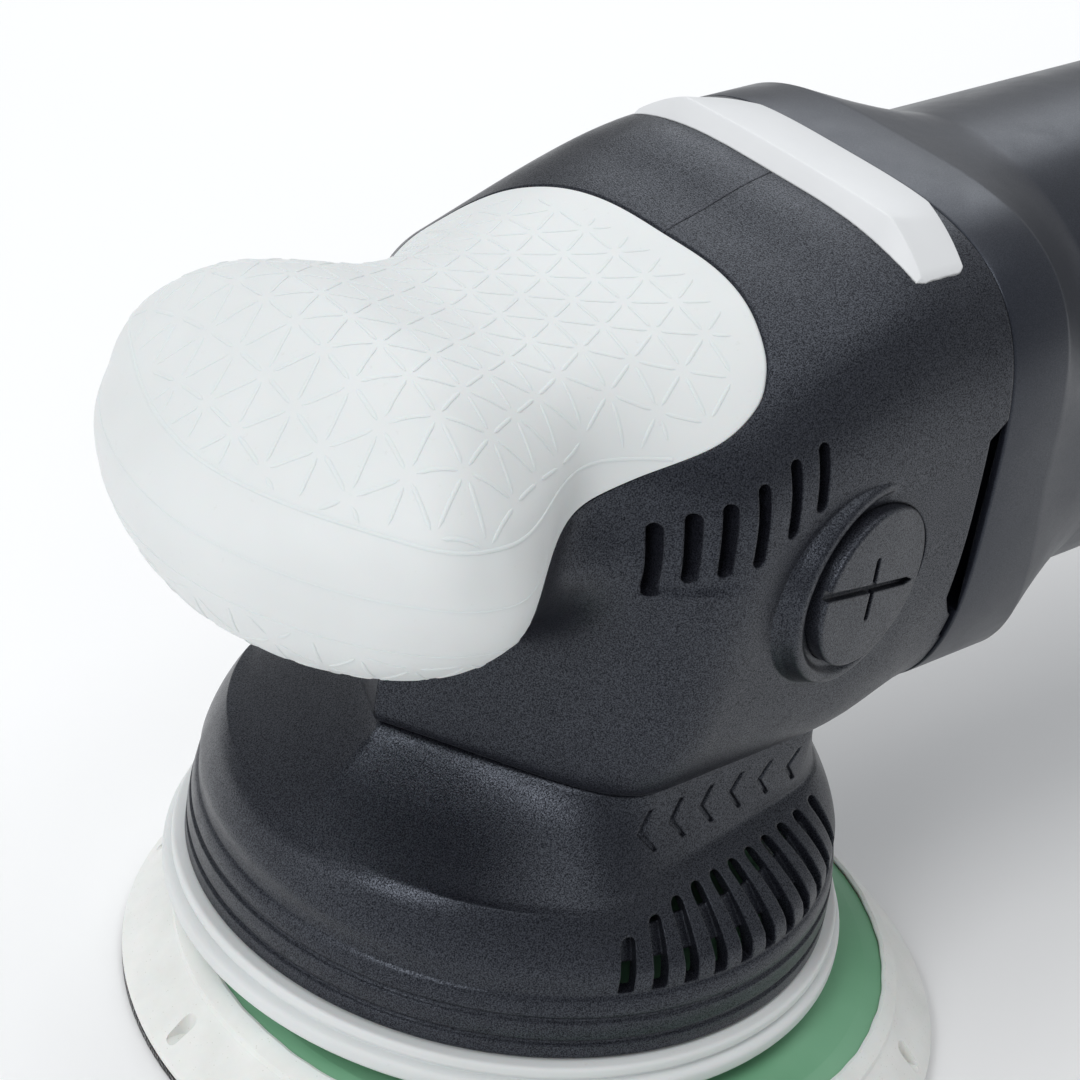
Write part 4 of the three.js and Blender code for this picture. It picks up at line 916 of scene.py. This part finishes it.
GLAND_HOLE_R = 8.3


def across_rod(radius, x, z, near, far, segments):
    return rod(radius, (x, near, z), (x, far, z), segments)


def handle_solid(inset, columns=144):
    angles = around(columns)
    table = np.array(HANDLE_STATIONS)[::-1]
    rows = []
    for x in np.unique(np.r_[np.linspace(table[0, 0], table[-1, 0], 60), table[:, 0]])[::-1]:
        wide, high, mid = (np.interp(x, table[:, 0], table[:, k]) for k in (1, 2, 3))
        if inset > 0:
            x = max(min(x, HANDLE_HIGH[0] - 2), HANDLE_LOW[0] + 3)
            if rows and abs(rows[-1][0][0] - x) < 1e-6:
                continue
        y, z = (wide - inset) * np.cos(angles), mid + (high - inset) * np.sin(angles)
        rows.append(np.stack([0 * angles + x, y, z], -1))
    return loft(rows)


def handle_cutters():
    wide = TRIGGER_HIGH[1] + 0.6
    slot = oblong(TRIGGER_LOW[0] - 2.6, TRIGGER_HIGH[0] + 0.8, -wide, wide, 2)
    dial = oblong(DIAL_X - DIAL_R + 0.5, DIAL_X + DIAL_R - 0.5, -DIAL_HALF - 0.5, DIAL_HALF + 0.5, 1.5)
    gland = rod(GLAND_HOLE_R, (HANDLE_LOW[0] - 5, 0, HANDLE_Z), (HANDLE_LOW[0] + 10, 0, HANDLE_Z), 48)
    lock = across_rod(LOCK_R + 0.4, LOCK_X, LOCK_Z, 15, 40, 48)
    return [plate(slot, "z", 50, 70), lock, plate(dial, "z", 105, 130), gland]


def palm_grooves():
    """Shallow grooves across the back of the handle, where the palm rests."""
    arc = np.linspace(math.radians(28), math.radians(152), 40)
    outer, inner = ([(wide * math.cos(a), mid + high * math.sin(a)) for a in arc]
                    for wide, mid, high in (GROOVE_OUTER, GROOVE_INNER))
    return [prism(outer + inner[::-1], "x", x - 0.7, x + 0.7) for x in GROOVES]


def handle_shells():
    hollow = cut(handle_solid(0), handle_solid(WALL, 72), *handle_cutters())
    for tag, side in SIDES:
        shell = common(copied(hollow), block(-340, -200, *span(side, SEAM, 60), 40, 140))
        for x, z in HANDLE_SCREWS:
            boss = across_rod(BOSS_R, x, z, side * GAP / 2, side * 34, 40)
            union(shell, common(boss, handle_solid(0.8, 72)))
            cut(shell, across_rod(SCREW_R, x, z, -16, 16, 24))
            if side < 0:
                cut(shell, across_rod(SCREW_HEAD_R, x, z, -40, -9, 32))
        cut(shell, together(palm_grooves()))
        done(shell, f"handle_half_{tag}", "slate_plastic", f"handle_shell_{tag}")
    discard(hollow)


def handle_parts():
    paddle = plate(TRIGGER, "y", TRIGGER_LOW[1], TRIGGER_HIGH[1], 6)
    grooves = [block(x, x + 1.4, -20, 20, 48, 53.4) for x in TRIGGER_GROOVES]
    cut(paddle, across_rod(TRIGGER_PIN_R, *TRIGGER_PIN, -20, 20, 32), together(grooves))
    done(paddle, "paddle_trigger", "black_plastic", "trigger", body="trigger")
    button = turned(LOCK, 48, (LOCK_X, 0, LOCK_Z), (0, 1, 0))
    done(button, "trigger_lock", "black_plastic", "lock_button", body="lock_button")
    wheel = turned(disk(DIAL_R, -DIAL_HALF, DIAL_HALF, 0.5), 120, (DIAL_X, 0, DIAL_Z), (0, 1, 0))
    out = DIAL_R + 0.05
    notches = [(DIAL_X + out * math.cos(a), DIAL_Z + out * math.sin(a)) for a in around(DIAL_NOTCHES)]
    cut(wheel, together([across_rod(DIAL_NOTCH_R, *notch, -6, 6, 10) for notch in notches]))
    done(wheel, "speed_wheel", "black_plastic", "speed_dial", body="speed_dial")
    gland = turned(GLAND, 64, (HANDLE_LOW[0], 0, HANDLE_Z), (1, 0, 0))
    done(gland, "cord_sleeve", "black_rubber", "cord_gland")


# ---------------------------- finishing a piece
def done(obj, name, slot, *nodes, body="housing"):
    """Names a finished piece, shades it, gives it its material and sets it on its body."""
    form = bmesh.new()
    form.from_mesh(obj.data)
    bmesh.ops.remove_doubles(form, verts=form.verts, dist=0.004 * MM)
    bmesh.ops.recalc_face_normals(form, faces=form.faces)
    form.to_mesh(obj.data)
    form.free()
    obj.name = obj.data.name = name
    obj.data.shade_smooth()
    obj.data.set_sharp_from_angle(angle=math.radians(32))
    dress(obj, slot)
    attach(obj, body)
    if nodes:
        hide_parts(*nodes)
    return obj


def dress(obj, slot):
    obj.data.materials.clear()
    obj.data.materials.append(MATERIALS[slot])


# ---------------------------- materials
class Nodes:
    """A material's node tree, built by name."""

    def __init__(self, name):
        self.material = bpy.data.materials.new(name)
        self.material.use_nodes = True
        self.tree = self.material.node_tree
        self.shader = self.tree.nodes["Principled BSDF"]
        self.place = self.tree.nodes.new("ShaderNodeTexCoord").outputs["Object"]

    def add(self, kind, **values):
        node = self.tree.nodes.new(kind)
        for key, value in values.items():
            if key in node.inputs:
                node.inputs[key].default_value = value
            else:
                setattr(node, key, value)
        return node

    def link(self, source, target):
        self.tree.links.new(source, target)

    def noise(self, size_mm, detail=2.0, roughness=0.5, distortion=0.0):
        node = self.add("ShaderNodeTexNoise", Scale=1 / (size_mm * MM), Detail=detail, Roughness=roughness,
                        Distortion=distortion)
        self.link(self.place, node.inputs["Vector"])
        return node.outputs["Fac"]

    def cells(self, size_mm):
        node = self.add("ShaderNodeTexVoronoi", Scale=1 / (size_mm * MM))
        self.link(self.place, node.inputs["Vector"])
        return node.outputs["Distance"]

    def ramp(self, factor, *stops):
        node = self.add("ShaderNodeValToRGB")
        elements = node.color_ramp.elements
        while len(elements) < len(stops):
            elements.new(0.5)
        for element, (at, colour) in zip(elements, stops):
            element.position = at
            element.color = (*colour, 1)
        self.link(factor, node.inputs["Fac"])
        return node.outputs["Color"]

    def tone(self, factor, low, high):
        return self.ramp(factor, (0.3, low), (0.7, high))

    def multiply(self, a, b):
        node = self.add("ShaderNodeMix", data_type="RGBA", blend_type="MULTIPLY")
        factor, colour_a, colour_b = (node.inputs[k] for k in (0, 6, 7))  # its sockets for colours
        factor.default_value = 1.0
        self.link(a, colour_a)
        self.link(b, colour_b)
        return node.outputs[2]

    def spread(self, factor, low, high, start=0.3, end=0.7):
        node = self.add("ShaderNodeMapRange")
        for socket, value in zip(("From Min", "From Max", "To Min", "To Max"), (start, end, low, high)):
            node.inputs[socket].default_value = value
        self.link(factor, node.inputs["Value"])
        return node.outputs["Result"]

    def finish(self, colour, worn, rough):
        """Sets the colour, and a roughness that varies with a noise between two limits."""
        self.link(colour, self.shader.inputs["Base Color"])
        self.link(self.spread(worn, *rough), self.shader.inputs["Roughness"])

    def bumps(self, *layers, edge=0.0):
        """Layers of (height, depth in mm, strength), laid over softened edges."""
        normal = None
        if edge > 0:
            soft = self.add("ShaderNodeBevel", Radius=edge * MM, samples=4)
            normal = soft.outputs["Normal"]
        for height, depth, strength in layers:
            node = self.add("ShaderNodeBump", Strength=strength, Distance=depth * MM)
            self.link(height, node.inputs["Height"])
            if normal is not None:
                self.link(normal, node.inputs["Normal"])
            normal = node.outputs["Normal"]
        self.link(normal, self.shader.inputs["Normal"])

    def set(self, **values):
        for key, value in values.items():
            self.shader.inputs[key.replace("_", " ")].default_value = value


WHITE = (1.0, 1.0, 1.0)


def grey(value, warm=0.0):
    return (value * (1 + warm), value, value * (1 - warm))


def moulded_plastic(name, dark, light, grain, depth, rough, edge, sparkle=0.5):
    """Dark moulded plastic: a fine spark-eroded grain with small bright specks and slow shading."""
    n = Nodes(name)
    fine = n.noise(grain, 2.0, 0.6)
    specks = n.noise(grain * 0.8, 1.0, 0.5, 0.3)
    slow = n.noise(38, 3.0, 0.55)
    between = tuple((a + b) / 2 for a, b in zip(dark, light))
    speckled = n.ramp(fine, (0.38, dark), (0.56, between), (0.68, light))
    shaded = n.tone(slow, (0.86, 0.87, 0.9), WHITE)
    n.finish(n.multiply(speckled, shaded), n.noise(6, 4.0, 0.6), rough)
    n.link(n.spread(specks, 0.5 - sparkle, 0.5 + sparkle, 0.36, 0.64), n.shader.inputs["Specular IOR Level"])
    n.bumps((fine, depth, 0.7), (slow, 0.12, 0.15), edge=edge)
    n.set(Specular_Tint=(0.80, 0.87, 1.0, 1.0))
    return n.material


def rubber(name, low, high, rough, grain=0.35, sheen=0.15, subsurface=0.08):
    """Soft rubber with a faint skin, slight stains and a satin bloom."""
    n = Nodes(name)
    slow = n.noise(26, 3.0, 0.55)
    fine = n.noise(grain, 2.0, 0.5)
    stains = n.ramp(n.noise(1.6, 5.0, 0.7), (0.26, (0.93, 0.925, 0.91)), (0.36, WHITE))
    n.finish(n.multiply(n.tone(slow, low, high), stains), fine, rough)
    n.bumps((fine, 0.02, 0.35), (slow, 0.2, 0.1))
    n.set(Subsurface_Weight=subsurface, Subsurface_Scale=0.002, Sheen_Weight=sheen, Sheen_Roughness=0.5,
          Specular_IOR_Level=0.4)
    return n.material


def satin_plastic(name, low, high, rough, coat=0.0):
    """Smooth coloured plastic with a slight orange-peel and faint scuffs."""
    n = Nodes(name)
    scuffs = n.noise(0.5, 4.0, 0.7, 1.2)
    n.finish(n.tone(n.noise(20, 3.0, 0.5), low, high), scuffs, rough)
    n.bumps((n.noise(1.4, 2.0, 0.5), 0.03, 0.25), (scuffs, 0.01, 0.3), edge=0.25)
    n.set(Coat_Weight=coat, Coat_Roughness=0.25)
    return n.material


def foam_skin(name):
    """Moulded urethane foam: a closed skin with small pores and a slightly uneven edge."""
    n = Nodes(name)
    pores = n.cells(0.9)
    slow = n.noise(14, 4.0, 0.6)
    fine = n.noise(0.5, 3.0, 0.6)
    base = n.tone(slow, (0.74, 0.75, 0.72), (0.84, 0.845, 0.82))
    # Darker at the middle of each pore, where its bump makes a pit: painted shade in the pores.
    pore_shade = n.ramp(pores, (0.06, (0.8, 0.8, 0.76)), (0.14, WHITE))
    n.finish(n.multiply(base, pore_shade), fine, (0.62, 0.82))
    n.bumps((pores, 0.05, 0.35), (fine, 0.04, 0.4), (slow, 0.4, 0.2))
    n.set(Subsurface_Weight=0.12, Subsurface_Scale=0.003, Sheen_Weight=0.2, Sheen_Roughness=0.6)
    return n.material


def hook_fabric(name):
    """Nylon hooks seen as a dense, matt black pile."""
    n = Nodes(name)
    hooks = n.cells(0.55)
    fine = n.noise(0.3, 3.0, 0.7)
    n.finish(n.ramp(hooks, (0.1, grey(0.05)), (0.5, grey(0.008))), fine, (0.7, 0.95))
    n.bumps((hooks, 0.4, 0.8), (fine, 0.1, 0.5))
    n.set(Sheen_Weight=0.4, Sheen_Roughness=0.4)
    return n.material


def worked_metal(name, low, high, rough, depth, edge=0.15, grain=0.25):
    """Machined or cast metal with fine tool marks and slow tarnish."""
    n = Nodes(name)
    marks = n.noise(grain, 3.0, 0.6, 0.6)
    n.finish(n.tone(n.noise(9, 3.0, 0.6), low, high), marks, rough)
    n.bumps((marks, depth, 0.4), edge=edge)
    n.set(Metallic=1.0)
    return n.material


# Each slot's kind of material, with what that kind asks for.
FINISHES = {
    "charcoal_plastic": (moulded_plastic, (0.0042, 0.0045, 0.0064), (0.019, 0.020, 0.027), 0.25, 0.065,
                         (0.28, 0.38), 0.45, 0.36),
    "slate_plastic": (moulded_plastic, (0.008, 0.009, 0.0135), (0.015, 0.017, 0.025), 0.2, 0.012,
                      (0.28, 0.36), 0.45, 0.12),
    "grip_rubber": (rubber, (0.655, 0.675, 0.672), (0.70, 0.72, 0.718), (0.42, 0.56)),
    "white_plastic": (satin_plastic, (0.68, 0.69, 0.70), (0.72, 0.73, 0.74), (0.34, 0.46)),
    "green_plastic": (satin_plastic, (0.165, 0.385, 0.225), (0.20, 0.43, 0.265), (0.28, 0.38), 0.2),
    "urethane_foam": (foam_skin,),
    "hook_nylon": (hook_fabric,),
    "black_plastic": (moulded_plastic, grey(0.006), grey(0.02), 0.3, 0.02, (0.38, 0.5), 0.3),
    "black_rubber": (rubber, grey(0.012), grey(0.02), (0.55, 0.7), 0.3, 0.1, 0.0),
    "potting_resin": (satin_plastic, (0.03, 0.05, 0.06), (0.045, 0.07, 0.08), (0.3, 0.45)),
    "fan_nylon": (satin_plastic, (0.17, 0.1, 0.035), (0.23, 0.14, 0.05), (0.4, 0.55)),
    "steel": (worked_metal, grey(0.5), grey(0.62), (0.2, 0.36), 0.01),
    "dark_steel": (worked_metal, grey(0.09), grey(0.15), (0.34, 0.5), 0.015),
    "cast_aluminium": (worked_metal, grey(0.55, 0.01), grey(0.66, 0.01), (0.4, 0.6), 0.05, 0.3, 0.5),
    "copper": (worked_metal, (0.5, 0.2, 0.09), (0.72, 0.32, 0.16), (0.25, 0.4), 0.03, 0.1, 0.35),
    "brass": (worked_metal, (0.56, 0.4, 0.13), (0.7, 0.52, 0.2), (0.25, 0.4), 0.01),
    "carbon": (satin_plastic, grey(0.015), grey(0.03), (0.5, 0.7)),
}
SLOTS = {node: obj.data.materials[0].name.split(".")[0] for node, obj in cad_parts.items()}
MATERIALS = {slot: make(slot, *values) for slot, (make, *values) in FINISHES.items()}


def dress_frame():
    """Gives the CAD nodes that stay in view the same finishes."""
    for node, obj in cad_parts.items():
        dress(obj, SLOTS[node])


# ---------------------------- floor, lights and camera
FLOOR_R, FLOOR_THICK = 4000, 20


def stage():
    n = Nodes("studio_floor")
    n.link(n.tone(n.noise(300, 2.0, 0.5), grey(0.93), grey(0.95)), n.shader.inputs["Base Color"])
    n.set(Roughness=0.7, Specular_IOR_Level=0.2)
    floor = loft([polar(FLOOR_R, around(96), -depth) for depth in (0, FLOOR_THICK)])
    floor.name = "floor"
    floor.data.materials.append(n.material)


# name, place, aim, size, power, colour
LIGHTS = [("overhead", (-0.1, -0.1, 1.6), (-0.1, -0.05, 0), (2.2, 1.8), 14.0, WHITE),
          ("key", (0.95, 0.25, 0.8), (0, 0, 0.08), (0.4, 0.4), 4.6, (0.97, 0.98, 1.0)),
          ("rim", (-0.7, -0.6, 0.7), (0, 0, 0.1), (0.7, 0.5), 2.2, (0.93, 0.96, 1.0)),
          ("front", (1.1, -0.3, 0.3), (0, 0, 0.06), (0.5, 0.4), 1.3, WHITE)]


def studio():
    world = bpy.data.worlds.new("studio")
    world.use_nodes = True
    background = world.node_tree.nodes["Background"]
    background.inputs["Color"].default_value = (0.96, 0.98, 1.0, 1)
    background.inputs["Strength"].default_value = 0.45
    scene.world = world
    scene.view_settings.view_transform = "Standard"
    for name, place, aim, size, power, colour in LIGHTS:
        data = bpy.data.lights.new(name, "AREA")
        data.shape = "RECTANGLE"
        data.size, data.size_y = size
        data.energy = power
        data.color = colour
        lamp = link_object(name, data)
        lamp.location = place
        lamp.rotation_euler = (Vector(aim) - Vector(place)).to_track_quat("-Z", "Y").to_euler()


CAMERA = dict(azimuth=133.29, elevation=30.92, roll=9.97, shift=(8.0, 64.1), distance=552.1, lens=119.17)


def camera():
    a, e, k = (math.radians(CAMERA[name]) for name in ("azimuth", "elevation", "roll"))
    back = Vector((math.sin(a) * math.cos(e), -math.cos(a) * math.cos(e), math.sin(e)))
    level = Vector((0, 0, 1)).cross(back).normalized()
    upward = back.cross(level)
    right = math.cos(k) * level + math.sin(k) * upward
    up = -math.sin(k) * level + math.cos(k) * upward
    across, above = CAMERA["shift"]
    data = bpy.data.cameras.new("camera")
    data.lens = CAMERA["lens"]
    data.sensor_width = 36
    data.clip_start, data.clip_end = 0.02, 20
    scene.camera = link_object("camera", data)
    place = (across * right + above * up + CAMERA["distance"] * back) * MM
    scene.camera.matrix_world = Matrix.Translation(place) @ Matrix((right, up, back)).transposed().to_4x4()


camera()
studio()
stage()
dress_frame()
head_covers()
boss_plugs()
front_grip()
grip_texture()
accent_strip()
shroud()
pad()
motor_housing()
handle_shells()
handle_parts()
